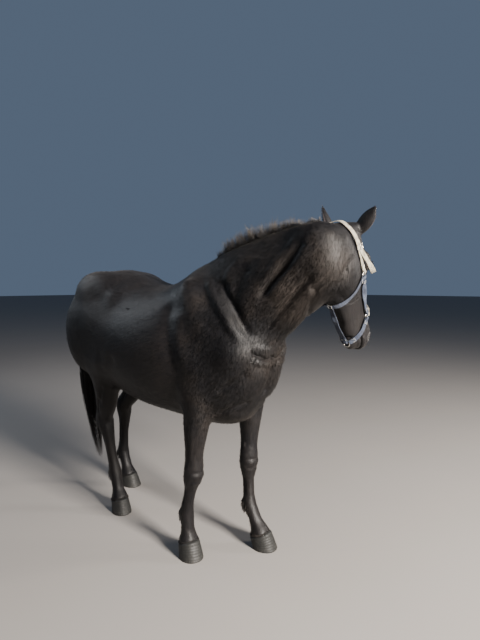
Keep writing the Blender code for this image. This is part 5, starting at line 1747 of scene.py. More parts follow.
# ---------------------------------------------------------------- hair
@dataclass(frozen=True)
class HairShape:
    """One small closed body of hair, one long, lying along Z and bending away from X."""

    name: str
    sides: int
    steps: int
    half_width: float
    flatness: float
    bend: float

    def made(self) -> bpy.types.Object:
        """Builds the shape, with its own place along and across stored as the patch."""
        points: list[Point] = [(-0.02, 0.0, -0.05)]
        patch: list[Point] = [(0.5, 0.0, 0.0)]
        faces: list[tuple[int, ...]] = []
        for step in range(1, self.steps):
            share = step / self.steps
            reach = self.half_width * (1.0 - share**2.2) * min(1.0, 0.55 + share * 1.6)
            middle = self.bend * (share - share**2.4) * 2.2 - self.bend * 0.35 * share
            for k in range(self.sides):
                turn = 2 * math.pi * k / self.sides
                points.append(
                    (middle + reach * self.flatness * math.cos(turn), reach * math.sin(turn), share)
                )
                patch.append((0.5 + 0.5 * math.sin(turn), share, 0.0))
        points.append((-self.bend * 0.35, 0.0, 1.0))
        patch.append((0.5, 1.0, 0.0))
        tip = len(points) - 1
        for k in range(self.sides):
            after = (k + 1) % self.sides
            faces.append((0, 1 + after, 1 + k))
            for step in range(self.steps - 2):
                low, high = 1 + step * self.sides, 1 + (step + 1) * self.sides
                faces.append((low + k, low + after, high + after, high + k))
            last = 1 + (self.steps - 2) * self.sides
            faces.append((last + k, last + after, tip))
        obj = facing_out(new_object(self.name, points, faces))
        store(obj.data, "patch", np.array(patch))
        return obj


class Coat:
    """The short coat: tufts strewn over the skin, in one piece for each region."""

    quick_share = 0.25
    first_seed = 40
    # tufts on each square metre
    spread = {
        Region.BARREL: 17500.0, Region.QUARTERS: 17500.0, Region.SHOULDER: 22000.0, Region.NECK: 24000.0,
        Region.HEAD: 24000.0, Region.LEGS: 20000.0,
    }

    def __init__(self, skin: bpy.types.Object, finishes: Finishes) -> None:
        """Takes the skin and the finishes."""
        self.skin = skin
        self.finishes = finishes

    def build(self) -> None:
        """Builds every region's piece."""
        tuft = HairShape("tuft", 3, 2, 0.085, 0.26, 0.07).made()
        tree = scatter_tree()
        thinned = 1.0
        for region, density in self.spread.items():
            piece = tree.run(f"coat_{region.name.lower()}", self.skin, {
                "Tuft": tuft, "Region": float(region.value), "Density": density * thinned,
                "Seed": self.first_seed + region.value, "Finish": self.finishes.tufts,
            })
            ride_as(piece, "coat")
        discard(tuft)


def planted_points(name: str, rows: Sequence[tuple]) -> bpy.types.Object:
    """A mesh of points to plant hair on.

    Args:
        name: Its name.
        rows: For each point: its place, aim, comb direction, size, and place on the bake map.

    Returns:
        The object, with the attributes that the planting tree reads.
    """
    mesh = bpy.data.meshes.new(name)
    mesh.from_pydata([tuple(row[0]) for row in rows], [], [])
    obj = bpy.data.objects.new(name, mesh)
    bpy.context.scene.collection.objects.link(obj)
    store(mesh, "aim", np.array([row[1] for row in rows], float))
    store(mesh, "comb", np.array([row[2] for row in rows], float))
    store(mesh, "size", np.array([row[3] for row in rows], float))
    store(mesh, "root_map", np.array([(*row[4], 0.0) for row in rows], float))
    return obj


class Skin:
    """The finished skin as something to lay other pieces on."""

    def __init__(self, obj: bpy.types.Object) -> None:
        """Reads the skin's surface and its unwrap."""
        self.obj = obj
        graph = bpy.context.evaluated_depsgraph_get()
        self.tree = BVHTree.FromObject(obj, graph)
        self.points = coordinates(obj.data)
        self.normals = normals_of(obj.data)
        flat = np.empty(len(obj.data.loops) * 2, np.float32)
        obj.data.uv_layers[SKIN_MAP].data.foreach_get("uv", flat)
        self.map = np.zeros((len(self.points), 2))
        self.map[corners_of(obj.data)] = flat.reshape(-1, 2)

    def nearest(self, spot: Sequence[float]) -> tuple[Vector, Vector]:
        """The skin's nearest place and its normal there."""
        place, normal, _, _ = self.tree.find_nearest(Vector(spot))
        return place, normal

    def root_map(self, spot: Sequence[float]) -> np.ndarray:
        """The place on the unwrap of the skin near a point."""
        _, _, index, _ = self.tree.find_nearest(Vector(spot))
        return self.map[self.obj.data.polygons[index].vertices[0]]

    def above(self, spot: Sequence[float], clearance: float) -> Vector:
        """The point, raised where needed so that it clears the skin."""
        place, normal = self.nearest(spot)
        spot = Vector(spot)
        return place + normal * clearance if (spot - place).dot(normal) < clearance else spot


class Growth:
    """Hair that grows on the finished skin."""

    def __init__(self, skin: Skin, stance: Stance, finishes: Finishes) -> None:
        """Takes what it grows on."""
        self.skin = skin
        self.stance = stance
        self.finishes = finishes


class Mane(Growth):
    """The short mane growing out upright along the crest."""

    seed = 5
    locks = 4600
    half_bed = 0.0150
    shares = (0.0, 0.05, 0.12, 0.30, 0.48, 0.62, 0.80, 1.0)
    heights = (0.014, 0.034, 0.058, 0.070, 0.064, 0.052, 0.036, 0.020)

    def crest(self) -> np.ndarray:
        """Points along the top of the neck, from the withers to the nape."""
        nape = self.stance.to_body(self.stance.head_spots([(0.0, -0.145, 0.035)]))[0]
        line = []
        for share in np.linspace(0.0, 1.0, 40):
            ahead = 0.40 + (nape[0] - 0.40) * share
            left = nape[1] * max(0.0, (share - 0.25) / 0.75) ** 1.6
            tops = []
            for nudge in range(-5, 6):
                start = self.stance.body_spots([(ahead, left + nudge * 0.008, 2.0)])[0]
                hit = self.skin.tree.ray_cast(Vector(start), Vector((0, 0, -1)))[0]
                if hit is not None:
                    tops.append(hit)
            line.append(tuple(max(tops, key=lambda p: p.z)))
        line = np.array(line)
        for _ in range(10):
            line[1:-1] = (line[:-2] + line[1:-1] + line[2:]) / 3
        return line

    def build(self) -> None:
        """Plants the locks along the crest."""
        rng = np.random.default_rng(self.seed)
        line = curve_through(self.crest(), 0.004)
        total = len(line)
        rows = []
        for _ in range(self.locks):
            share = rng.random()
            index = min(int(share * (total - 1)), total - 2)
            along = unit(line[index + 1] - line[index])
            side = unit(np.cross(along, (0.0, 0.0, 1.0)))
            up = np.cross(side, along)
            offset = float(np.clip(rng.normal(0.0, 0.5), -1.0, 1.0))
            spot = line[index] + along * rng.uniform(-0.003, 0.003) + side * offset * self.half_bed
            place, _ = self.skin.nearest(spot)
            clump = noise_at(place, 70.0, 1.0), noise_at(place, 64.0, 7.0), noise_at(place, 45.0, 3.0)
            fallen = -float(smooth(rng.random(), 0.86, 0.99)) * 1.5 * float(smooth(share, 0.62, 0.40))
            tilt = offset * 0.50 + clump[0] * 0.60 + rng.normal(0.0, 0.16) + fallen
            lean = clump[1] * 0.55 + rng.normal(0.0, 0.14)
            aim = unit(up * 0.45 + np.array([0.0, 0.0, 0.55]) + side * tilt + along * lean)
            tall = float(np.interp(share, self.shares, self.heights))
            tall *= (1.0 + 0.55 * clump[2]) * (0.30 + 0.95 * rng.random() ** 1.5) * (1 - 0.28 * abs(offset))
            root = np.array(place) - aim * 0.003
            comb = side * rng.choice((-1, 1)) + along * rng.normal(0, 0.6)
            rows.append((root, aim, comb, tall + 0.004, self.skin.root_map(place)))
        points = planted_points("mane_roots", rows)
        shape = HairShape("mane_lock", 3, 5, 0.0125, 0.8, 0.14).made()
        piece = planting_tree().run("mane_locks", points, {"Shape": shape, "Finish": self.finishes.mane})
        discard(points, shape)
        ride_as(piece, "mane_hair", "mane")


def noise_at(place: Sequence[float], scale: float, seed: float) -> float:
    """Smooth noise from -1 to 1 at a place."""
    return noise.noise(Vector(place) * scale + Vector((seed * 13.7, seed * 5.1, seed * 2.3)))


class Tail(Growth):
    """The long tail: locks of strands hanging over a soft core."""

    seed = 17
    guides = 74
    golden_share = 0.618034
    core_share = 0.78
    strands = 12
    quick_strands = 5
    steps = 22
    spread = 0.0085
    thickness = 0.0015
    # ahead, left, up, half width, half depth
    table = (
        (-0.700, 0.0, 1.325, 0.026, 0.022), (-0.795, 0.0, 1.265, 0.035, 0.029),
        (-0.832, 0.0, 1.170, 0.047, 0.040), (-0.845, 0.0, 1.030, 0.057, 0.046),
        (-0.847, 0.0, 0.870, 0.062, 0.050), (-0.842, 0.0, 0.720, 0.060, 0.048),
        (-0.811, 0.0, 0.560, 0.051, 0.039), (-0.767, 0.0, 0.400, 0.038, 0.028),
        (-0.728, 0.0, 0.270, 0.022, 0.016), (-0.710, 0.0, 0.212, 0.009, 0.008),
    )

    def __init__(self, skin: Skin, stance: Stance, finishes: Finishes) -> None:
        """Takes what it grows on, and runs the table out into close rows."""
        super().__init__(skin, stance, finishes)
        rows = np.array(self.table)
        self.rows = curve_through(np.hstack([stance.body_spots(rows[:, :3]), rows[:, 3:]]), 0.008)

    def core(self) -> bpy.types.Object:
        """The dock and the dense hair inside the tail, as one dark body."""
        rings = []
        last = int(len(self.rows) * self.core_share)
        for index in range(0, last, 3):
            x, y, z, wide, deep = self.rows[index]
            fade = 0.78 * (1.0 - 0.75 * (index / last) ** 2.5)
            rings.append([(x + wide * fade * math.cos(turn), y + deep * fade * math.sin(turn), z)
                          for turn in np.linspace(0, 2 * math.pi, 17)[:-1]])
        obj = facing_out(new_object("tail_core", *lofted(rings)))
        points = coordinates(obj.data)
        store(obj.data, "patch", np.tile(np.array([[0.5, 0.0, 0.0]]), (len(points), 1)))
        obj.data.materials.append(self.finishes.tail)
        root = self.skin.root_map(self.rows[6][:3])
        store_map(obj.data, BAKE_MAP, root + points[corners_of(obj.data)][:, [0, 2]] * 0.004)
        return obj

    def guide_lines(self) -> bpy.types.Object:
        """Open lines down the tail, each with its root's place on the bake map."""
        rng = np.random.default_rng(self.seed)
        points: list[np.ndarray] = []
        edges: list[tuple[int, int]] = []
        roots: list[np.ndarray] = []
        total = len(self.rows)
        for number in range(self.guides):
            turn = 2 * math.pi * number * self.golden_share
            reach = 0.55 + 0.42 * math.sqrt((number * 0.37) % 1.0)
            start = int(total * (0.015 + 0.16 * rng.random() ** 1.3))
            end = int(total * min(1.0, 0.66 + 0.40 * rng.random()))
            swirl = rng.uniform(-0.7, 0.7)
            root = self.skin.root_map(self.rows[start][:3])
            begin = len(points)
            for index in range(start, end, 3):
                share = (index - start) / max(end - start, 1)
                x, y, z, wide, deep = self.rows[index]
                near = reach * (0.80 + 0.20 * min(1.0, share * 5)) * (1.0 - 0.16 * share)
                angle = turn + swirl * share
                spot = np.array([x + wide * near * math.cos(angle), y + deep * near * math.sin(angle), z])
                drift = noise_at(spot, 9.0, number), noise_at(spot, 9.0, number + 50.0), 0.0
                spot += 0.006 * share * np.array(drift)
                points.append(spot)
                roots.append(np.array([*root, 0.0]))
            edges += [(k, k + 1) for k in range(begin, len(points) - 1)]
        mesh = bpy.data.meshes.new("tail_guides")
        mesh.from_pydata([tuple(p) for p in points], edges, [])
        obj = bpy.data.objects.new("tail_guides", mesh)
        bpy.context.scene.collection.objects.link(obj)
        store(mesh, "root_map", np.array(roots))
        return obj

    def build(self) -> None:
        """Builds the core and the locks."""
        ride_as(self.core(), "tail_hair", "tail")
        guides = self.guide_lines()
        locks = strand_tree().run("tail_locks", guides, {
            "Strands": self.strands, "Steps": self.steps,
            "Spread": self.spread, "Thickness": self.thickness, "Finish": self.finishes.tail,
        })
        discard(guides)
        ride_as(locks, "tail_hair")


class Trimmings(Growth):
    """The finer hair: feather behind the fetlocks, the ears' lining, lashes and whiskers."""

    seed = 23
    fetlock_hairs = 330
    coronet_hairs = 300
    lining_hairs = 420
    lash_hairs = 70
    feeler_hairs = 46

    def __init__(self, skin: Skin, stance: Stance, finishes: Finishes) -> None:
        """Takes what it grows on, and starts the random draws."""
        super().__init__(skin, stance, finishes)
        self.rng = np.random.default_rng(self.seed)

    def rooted(self, spot: np.ndarray, aim: np.ndarray, size: float) -> tuple:
        """One hair's row, rooted on the skin nearest to a place."""
        place, normal = self.skin.nearest(spot)
        aim = unit(aim)
        return np.array(place) - aim * 0.15 * size, aim, np.array(normal), size, self.skin.root_map(place)

    def feather(self) -> list[tuple]:
        """Longer hair behind and below each fetlock, and over the coronet."""
        rows = []
        for leg in LEGS:
            ahead, side = toe_frame(leg)
            fetlock, hoof = self.stance.body_spots([leg.fetlock])[0], self.stance.body_spots([leg.hoof])[0]
            for _ in range(self.fetlock_hairs):
                share = self.rng.random() ** 0.7
                centre = fetlock + (hoof + np.array([0, 0, 0.09]) - fetlock) * (share * 0.55 - 0.25)
                turn = math.pi + self.rng.normal(0.0, 0.55)
                out = ahead * math.cos(turn) + side * math.sin(turn)
                size = self.rng.uniform(0.018, 0.034) * (1.0 - 0.35 * abs(share - 0.45))
                aim = DOWN + out * self.rng.uniform(0.15, 0.55) + self.rng.normal(0, 0.12, 3)
                rows.append(self.rooted(centre + out * 0.05, aim, size))
            for number in range(self.coronet_hairs):
                turn = 2 * math.pi * number / self.coronet_hairs + self.rng.normal(0, 0.02)
                out = ahead * math.cos(turn) + side * math.sin(turn)
                spot = hoof + out * (0.055 - 0.010 * (math.cos(turn) < 0)) + ahead * (-0.022)
                spot[2] = 0.078 + 0.38 * float(out @ ahead) * 0.036 + 0.006 * self.rng.random()
                aim = DOWN + out * 0.42 + self.rng.normal(0, 0.10, 3)
                rows.append(self.rooted(spot, aim, self.rng.uniform(0.011, 0.018)))
        return rows

    def ear_lining(self) -> list[tuple]:
        """Soft hair inside and along the rims of the ears."""
        rows = []
        for ear in EARS:
            root, axis, front, across = ear.axes()
            for _ in range(self.lining_hairs):
                share = self.rng.uniform(0.12, 0.80)
                swing = self.rng.normal(0.0, 0.75)
                half = 0.026 * math.sin(math.pi * min(share + 0.18, 0.98))
                local = root + axis * (share * ear.length) + across * half * math.sin(swing)
                local = local + front * (half * 0.5 * math.cos(swing))
                aim = axis * 0.9 + front * self.rng.uniform(0.2, 0.7) - across * math.sin(swing) * 0.35
                aim = self.stance.turn @ aim + self.rng.normal(0, 0.12, 3)
                spot = self.stance.turn @ local + self.stance.start
                rows.append(self.rooted(spot, aim, self.rng.uniform(0.007, 0.014)))
        return rows

    def lashes(self) -> list[tuple]:
        """Lashes on the upper lids."""
        rows = []
        for side in Side:
            socket = EyeSocket(side)
            centre, axes = socket.axes(self.stance)
            for number in range(self.lash_hairs):
                share = -0.80 + 1.6 * number / (self.lash_hairs - 1) + self.rng.normal(0, 0.01)
                flat = share * socket.half_long
                tall = socket.upper * (1 - abs(share) ** socket.power) ** (1 / socket.power) + 0.0012
                nose, up = flat / EYE_RADIUS, tall / EYE_RADIUS
                turn = math.hypot(nose, up)
                spread = math.sin(turn) / turn
                local = np.array([nose * spread, up * spread, math.cos(turn)])
                spot = centre + (EYE_RADIUS + 0.003) * (local @ axes)
                aim = np.array([share * 0.5, -0.10 + 0.25 * self.rng.random(), 1.0]) @ axes
                aim = aim + self.rng.normal(0, 0.06, 3)
                rows.append(self.rooted(spot, aim, self.rng.uniform(0.011, 0.017)))
        return rows

    def feelers(self) -> list[tuple]:
        """Long stiff hairs on the muzzle."""
        rows = []
        for _ in range(self.feeler_hairs):
            down, face = self.rng.uniform(0.50, 0.60), self.rng.uniform(-0.13, -0.03)
            sign = self.rng.choice((-1.0, 1.0))
            spot = self.stance.head_spots([(down, face, sign * 0.06)])[0]
            aim = self.stance.turn @ np.array([sign * 0.8, 0.1, -0.55])
            rows.append(self.rooted(spot, aim + self.rng.normal(0, 0.25, 3), self.rng.uniform(0.016, 0.034)))
        return rows

    def build(self) -> None:
        """Plants every kind."""
        tree = planting_tree()
        tufts, dark = self.finishes.tufts, self.finishes.tail
        kinds = (
            ("coat_feather", self.feather(), HairShape("feather_hair", 3, 4, 0.045, 0.5, 0.16), tufts),
            ("coat_ear_lining", self.ear_lining(), HairShape("lining_hair", 3, 3, 0.036, 0.5, 0.12), tufts),
            ("coat_lashes", self.lashes(), HairShape("lash_hair", 3, 4, 0.022, 1.0, 0.18), dark),
            ("coat_feelers", self.feelers(), HairShape("feeler_hair", 3, 4, 0.009, 1.0, 0.10), dark),
        )
        for name, rows, hair, finish in kinds:
            points, shape = planted_points(name + "_roots", rows), hair.made()
            piece = tree.run(name, points, {"Shape": shape, "Finish": finish})
            discard(points, shape)
            ride_as(piece, "coat")


# ---------------------------------------------------------------- hooves and eyes
@dataclass(frozen=True)
class Hoof:
    """One hoof: a ringed wall, a flat bearing edge, a hollow sole and its frog."""

    leg: Leg
    length: float
    width: float
    sides: int = 72
    coronet_height: float = 0.074
    slope: float = 0.38
    sole: tuple[tuple[float, float], ...] = (
        (0.056, 0.009), (0.040, 0.0085), (0.024, 0.0075), (0.014, 0.0055), (0.0105, 0.0028), (0.0090, 0.0),
    )

    def spot(self, stance: Stance, turn: float, share: float, inset: float = 0.0) -> Point:
        """A point of the wall at a turn round the hoof and a share of its height."""
        toe, side = toe_frame(self.leg)
        base = stance.body_spots([(*self.leg.hoof[:2], 0.0)])[0]
        c, s = math.cos(turn), math.sin(turn)
        ripple = 0.00045 * math.sin(share * 46.0 + 0.5 * math.sin(3 * turn))
        ripple += 0.0003 * math.sin(share * 83.0 + 1.0)
        ripple *= min(1.0, share * 6) * min(1.0, (1 - share) * 6)
        bulge = 0.0016 * math.exp(-(((share - 0.93) / 0.05) ** 2)) - 0.0018 * max(0.0, 1 - share / 0.03)
        heel = 0.0035 * math.exp(-(((math.pi - abs((turn + math.pi) % (2 * math.pi) - math.pi)) / 0.24) ** 2))
        swell = 0.0010 + ripple + bulge - inset
        low = self.length * (c if c > 0 else c * 0.93) + swell * c + heel * (1 - share)
        high = -0.024 + self.length * 0.80 * c + swell * c + heel
        wide = self.width * (1 - share) + self.width * 0.86 * share + swell
        wide *= math.copysign(abs(s) ** 0.9, s)
        along = low * (1 - share) + high * share
        roof = self.coronet_height + self.slope * along
        point = base + toe * along + side * wide
        return float(point[0]), float(point[1]), float(share * roof)

    def build(self, stance: Stance, finishes: Finishes) -> None:
        """Builds the hoof."""
        turns = np.linspace(0, 2 * math.pi, self.sides + 1)[:-1]
        shares = np.concatenate([[0.0, 0.012, 0.03], np.linspace(0.06, 1.0, 34), [1.06, 1.12]])
        rings: list[list[Point]] = []
        horn: list[Point] = []

        def add(ring: list[Point], height: float, sole: float) -> None:
            """Adds one ring with what its finish reads."""
            rings.append(ring)
            horn.extend((math.sin(turn) * 1.0 + math.cos(turn) * 0.6, height, sole) for turn in turns)

        for inset, depth in self.sole:
            ring = []
            for turn in turns:
                x, y, _ = self.spot(stance, turn, 0.0, min(inset, self.width * 0.92))
                ring.append((x, y, depth))
            add(ring, 0.0, 1.0)
        for share in shares:
            inset = 0.0 if share <= 1.0 else (share - 1.0) * 0.07
            add([self.spot(stance, turn, float(share), inset) for turn in turns], float(share), 0.0)
        points, faces = lofted(rings)
        obj = facing_out(new_object(f"horn_{self.leg.hoof_name}", points, faces))
        obj.data.materials.append(finishes.horn)
        store(obj.data, "horn", np.array(horn))
        frog = self.frog(stance)
        ride_as(obj, "hoof", self.leg.hoof_name)
        frog.data.materials.append(finishes.horn)
        store(frog.data, "horn", np.tile(np.array([[0.3, 0.1, 1.0]]), (len(frog.data.vertices), 1)))
        ride_as(frog, "hoof")

    def frog(self, stance: Stance) -> bpy.types.Object:
        """The frog: a wedge in the hollow of the sole, cleft at the heel."""
        toe, side = toe_frame(self.leg)
        base = stance.body_spots([(*self.leg.hoof[:2], 0.0)])[0]
        rings = []
        for share in np.linspace(0.0, 1.0, 12):
            along = -0.86 * self.length * (1 - share) + 0.22 * self.length * share
            half = 0.019 * (1 - share) ** 0.8 + 0.0015
            cleft = 0.0022 * (1 - share) ** 2
            ring = []
            for turn in np.linspace(0, 2 * math.pi, 17)[:-1]:
                low = 0.0016 + 0.0105 * (0.5 + 0.5 * math.sin(turn))
                low += cleft * math.exp(-((math.cos(turn) / 0.35) ** 2)) * (math.sin(turn) < 0)
                ring.append(base + toe * along + side * half * math.cos(turn) + np.array([0, 0, low]))
            rings.append(ring)
        return facing_out(new_object(f"frog_{self.leg.hoof_name}", *lofted(rings)))


class Eyeball:
    """One eye: a ball with a clear bulge in front."""

    def __init__(self, side: Side) -> None:
        """Takes the side it is on."""
        self.side = side

    def build(self, stance: Stance, finishes: Finishes) -> None:
        """Builds the eye."""
        centre, axes = EyeSocket(self.side).axes(stance)
        points: list[np.ndarray] = []
        gaze: list[Point] = []
        rings, sides = 30, 48
        for row in range(1, rings):
            fall = math.pi * row / rings
            for k in range(sides):
                turn = 2 * math.pi * k / sides
                reach = math.sin(fall)
                local = np.array([reach * math.cos(turn), reach * math.sin(turn), math.cos(fall)])
                bulge = 0.0016 * float(smooth(fall, 0.95, 0.30))
                points.append(local * (EYE_RADIUS + bulge) @ axes + centre)
                gaze.append(tuple(local))
        top, low = np.array([0, 0, 1.0]), np.array([0, 0, -1.0])
        points += [top * (EYE_RADIUS + 0.0016) @ axes + centre, low * EYE_RADIUS @ axes + centre]
        gaze += [(0.0, 0.0, 1.0), (0.0, 0.0, -1.0)]
        faces = []
        for row in range(rings - 2):
            for k in range(sides):
                a, b = row * sides, (row + 1) * sides
                faces.append((a + k, b + k, b + (k + 1) % sides, a + (k + 1) % sides))
        count = (rings - 1) * sides
        for k in range(sides):
            faces.append((count, k, (k + 1) % sides))
            faces.append((count + 1, count - sides + (k + 1) % sides, count - sides + k))
        obj = facing_out(new_object(f"eye_ball_{self.side.word}", points, faces))
        store(obj.data, "gaze", np.array(gaze))
        obj.data.materials.append(finishes.eye)
        ride_as(obj, "eye", f"eye_{self.side.word}")


# ---------------------------------------------------------------- the halter
class End(Enum):
    """How a strap ends."""

    RING = 1
    SEWN = 2
    POINT = 3


@dataclass(frozen=True)
class Strap:
    """One strap of webbing: its line over the head, and how each end is held."""

    name: str
    controls: tuple[Point, ...]
    first: End
    last: End
    pale: bool
    lifts: tuple[float, ...] = ()
    pull: int = 8


@dataclass(frozen=True)
class Ring:
    """One metal ring: its node, and the sizes to the middle of its wire."""

    node: str
    radius: float
    wire: float


RINGS = {
    "upper_left": Ring("halter_ring_upper_left", 0.0135, 0.0026),
    "upper_right": Ring("halter_ring_upper_right", 0.0135, 0.0026),
    "lower_left": Ring("halter_ring_lower_left", 0.0135, 0.0026),
    "lower_right": Ring("halter_ring_lower_right", 0.0135, 0.0026),
    "chin": Ring("halter_ring_chin", 0.0160, 0.0028),
}


def halter_straps() -> list[Strap]:
    """Every strap, on (down, face, left) points of the head."""
    straps = []
    for side, sign in (("left", 1), ("right", -1)):
        upper, lower = (0.228, -0.084, sign * 0.095), (0.440, -0.052, sign * 0.070)
        cheek = (upper, (0.33, -0.072, sign * 0.080), lower)
        straps.append(Strap(f"halter_cheek_{side}", cheek, End.RING, End.RING, False))
        chin = (lower, (0.500, -0.105, sign * 0.062), (0.540, -0.185, 0.0))
        straps.append(Strap(f"halter_chin_{side}", chin, End.RING, End.RING, False))
    crown = ((0.228, -0.084, 0.095), (0.165, -0.084, 0.095), (0.10, -0.090, 0.092))
    crown += ((0.04, -0.098, 0.084), (0.0, -0.094, 0.052))
    crown += ((-0.016, -0.066, 0.0),) + tuple((d, f, -x) for d, f, x in reversed(crown))
    straps.append(Strap("halter_crown", crown, End.RING, End.RING, True, pull=3))
    nose = ((0.440, -0.052, 0.070), (0.425, -0.012, 0.064), (0.415, 0.022, 0.0))
    nose += tuple((d, f, -x) for d, f, x in reversed(nose[:2]))
    straps.append(Strap("halter_noseband", nose, End.RING, End.RING, True))
    throat = ((0.228, -0.084, 0.095), (0.27, -0.150, 0.092), (0.315, -0.225, 0.045), (0.325, -0.245, 0.0))
    throat += tuple((d, f, -x) for d, f, x in reversed(throat[:3]))
    straps.append(Strap("halter_throat", throat, End.RING, End.RING, False))
    jaw = ((0.316, -0.247, 0.0), (0.36, -0.236, 0.0), (0.44, -0.212, 0.0), (0.540, -0.185, 0.0))
    straps.append(Strap("halter_jaw", jaw, End.SEWN, End.RING, False, (0.0036, 0.0012, 0.0, 0.0)))
    loose = (
        (0.070, -0.0885, -0.0895), (0.100, -0.086, -0.094), (0.125, -0.079, -0.099), (0.155, -0.067, -0.106)
    )
    loose += ((0.195, -0.054, -0.116), (0.232, -0.046, -0.124))
    lifts = (0.0032, 0.0036, 0.0062, 0.006, 0.006, 0.006)
    straps.append(Strap("halter_strap_end", loose, End.SEWN, End.POINT, True, lifts, 0))
    return straps


class Halter:
    """The headcollar: flat webbing sewn round metal rings, and a buckle on the right cheek."""

    width = 0.0240
    thickness = 0.0026
    clearance = 0.0030
    step = 0.004
    sewn_length = 0.030
    spots = (-1.0, -0.75, -0.5, -0.25, 0.0, 0.25, 0.5, 0.75, 1.0)

    def __init__(self, skin: Skin, stance: Stance, finishes: Finishes) -> None:
        """Takes what it lies on."""
        self.skin = skin
        self.stance = stance
        self.finishes = finishes
        self.rings: dict[str, tuple[np.ndarray, np.ndarray]] = {}
        self.stitches: list[tuple] = []
        for name, ring in RINGS.items():
            low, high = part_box(ring.node)
            middle = (low + high) / 2
            height = self.clearance + self.thickness + ring.wire + 0.0002
            for _ in range(4):
                place, normal = skin.nearest(middle)
                middle = place + normal * height
            self.rings[name] = np.array(middle), np.array(normal)

    def nearest_ring(self, spot: np.ndarray) -> tuple[str, float]:
        """The ring nearest to a strap's end, and the radius to its wire."""
        name = min(self.rings, key=lambda key: float(np.linalg.norm(self.rings[key][0] - spot)))
        return name, RINGS[name].radius

    def line_of(self, strap: Strap) -> tuple[np.ndarray, np.ndarray]:
        """The strap's middle line drawn tight over the skin, and the directions out of its face."""
        lifts = strap.lifts or (0.0,) * len(strap.controls)
        spots = self.stance.head_spots(strap.controls)
        for index, held in ((0, strap.first), (-1, strap.last)):
            if held is End.RING:
                spots[index] = self.rings[self.nearest_ring(spots[index])[0]][0]
        rows = curve_through(np.hstack([spots, np.array(lifts)[:, None]]), self.step)
        line, lift = rows[:, :3], rows[:, 3]
        height = self.clearance + self.thickness / 2
        for _ in range(max(strap.pull, 1) * 6):
            if strap.pull:
                line[1:-1] = line[1:-1] * 0.4 + (line[:-2] + line[2:]) * 0.3
            for i in range(len(line)):
                line[i] = self.skin.above(line[i], height + lift[i])
        for index, held in ((0, strap.first), (-1, strap.last)):
            if held is End.RING:
                place, normal = self.skin.nearest(line[index])
                line[index] = place + normal * height
        outs = np.array([tuple(self.skin.nearest(p)[1]) for p in line])
        for _ in range(14):
            outs[1:-1] = unit(outs[:-2] + outs[1:-1] + outs[2:])
            outs[0], outs[-1] = outs[1], outs[-2]
        for _ in range(3):
            line[1:-1] = line[1:-1] * 0.5 + (line[:-2] + line[2:]) * 0.25
        return line, outs

    def profile(self, strap: Strap, total: float) -> list[tuple[float, float, float, float]]:
        """The strap's run in its own plane, from one end to the other.

        Args:
            strap: The strap.
            total: The length of its middle line.

        Returns:
            Rows of the distance along the line, the height over it, the turn of the strap and the
            length of webbing so far.
        """
        def wrapped(radius: float, wire: float) -> list[tuple[float, float, float]]:
            """From the sewn tip, back over the ring's wire and down to the run."""
            reach = wire + self.thickness / 2 + 0.0001
            rest = self.thickness + 0.0003
            rows = []
            for far in np.linspace(radius + self.sewn_length, radius + 0.002, 9):
                share = float(smooth(far - radius, 0.017, 0.002))
                rows.append((far, rest + (2 * reach - rest) * share, math.pi))
            for turn in np.linspace(0.0, math.pi, 9):
                rows.append((radius - reach * math.sin(turn), reach + reach * math.cos(turn), math.pi + turn))
            return rows

        rows: list[tuple[float, float, float]] = []
        begin, finish = 0.0, total
        if strap.first is End.RING:
            name, radius = self.ring_at(strap, 0)
            rows += wrapped(radius, RINGS[name].wire)
            begin = radius + 0.003
        tail: list[tuple[float, float, float]] = []
        if strap.last is End.RING:
            name, radius = self.ring_at(strap, -1)
            for far, high, turn in reversed(wrapped(radius, RINGS[name].wire)):
                tail.append((total - far, high, 2 * math.pi - turn if turn else 0.0))
            finish = total - radius - 0.003
        count = max(3, int((finish - begin) / self.step))
        rows += [
            (float(u), 0.0, 2 * math.pi if strap.first is End.RING else 0.0)
            for u in np.linspace(begin, finish, count)
        ]
        rows += tail
        made, length = [], 0.0
        for index, (u, high, turn) in enumerate(rows):
            if index:
                length += math.hypot(u - rows[index - 1][0], high - rows[index - 1][1])
            made.append((u, high, turn, length))
        return made

    def ring_at(self, strap: Strap, index: int) -> tuple[str, float]:
        """The ring that holds one end of a strap."""
        return self.nearest_ring(self.stance.head_spots([strap.controls[index]])[0])

    def framed(self, strap: Strap, runs: list, line: np.ndarray, outs: np.ndarray) -> list[tuple]:
        """The point, direction, side, face and half width of the strap at each row of its run."""
        along = distances(line)
        total = float(along[-1])
        tangents = unit(np.gradient(line, along, axis=0))
        frames = []
        for u, _, _, _ in runs:
            point, way, out = (row_at(u, along, rows) for rows in (line, tangents, outs))
            way = unit(way)
            out = unit(out - way * (out @ way))
            if u < 0 or u > total:
                point = point + way * (u - min(max(u, 0.0), total))
            frames.append(
                (point, way, np.cross(way, out), out, self.width / 2 * self.narrowing(strap, u, total))
            )
        return frames

    def lifted(self, runs: list, frames: list[tuple]) -> np.ndarray:
        """How far each place across the strap is raised so that it clears the skin under it."""
        height = self.clearance + self.thickness / 2
        lifts = np.zeros((len(runs), len(self.spots)))
        flat = [row for row, run in enumerate(runs) if abs(run[2] % (2 * math.pi)) < 0.1]
        for row in flat:
            point, _, side, _, half = frames[row]
            for k, share in enumerate(self.spots):
                spot = point + side * (half * share)
                place, normal = self.skin.nearest(spot)
                lifts[row, k] = max(0.0, height - (Vector(spot) - place).dot(normal))
        for row in range(len(runs)):
            if row not in flat:
                lifts[row] = lifts[min(flat, key=lambda other: abs(runs[other][0] - runs[row][0]))]
        for _ in range(3):
            lifts[1:-1] = (lifts[:-2] + lifts[1:-1] * 2 + lifts[2:]) / 4
            lifts[:, 1:-1] = (lifts[:, :-2] + lifts[:, 1:-1] * 2 + lifts[:, 2:]) / 4
        return lifts

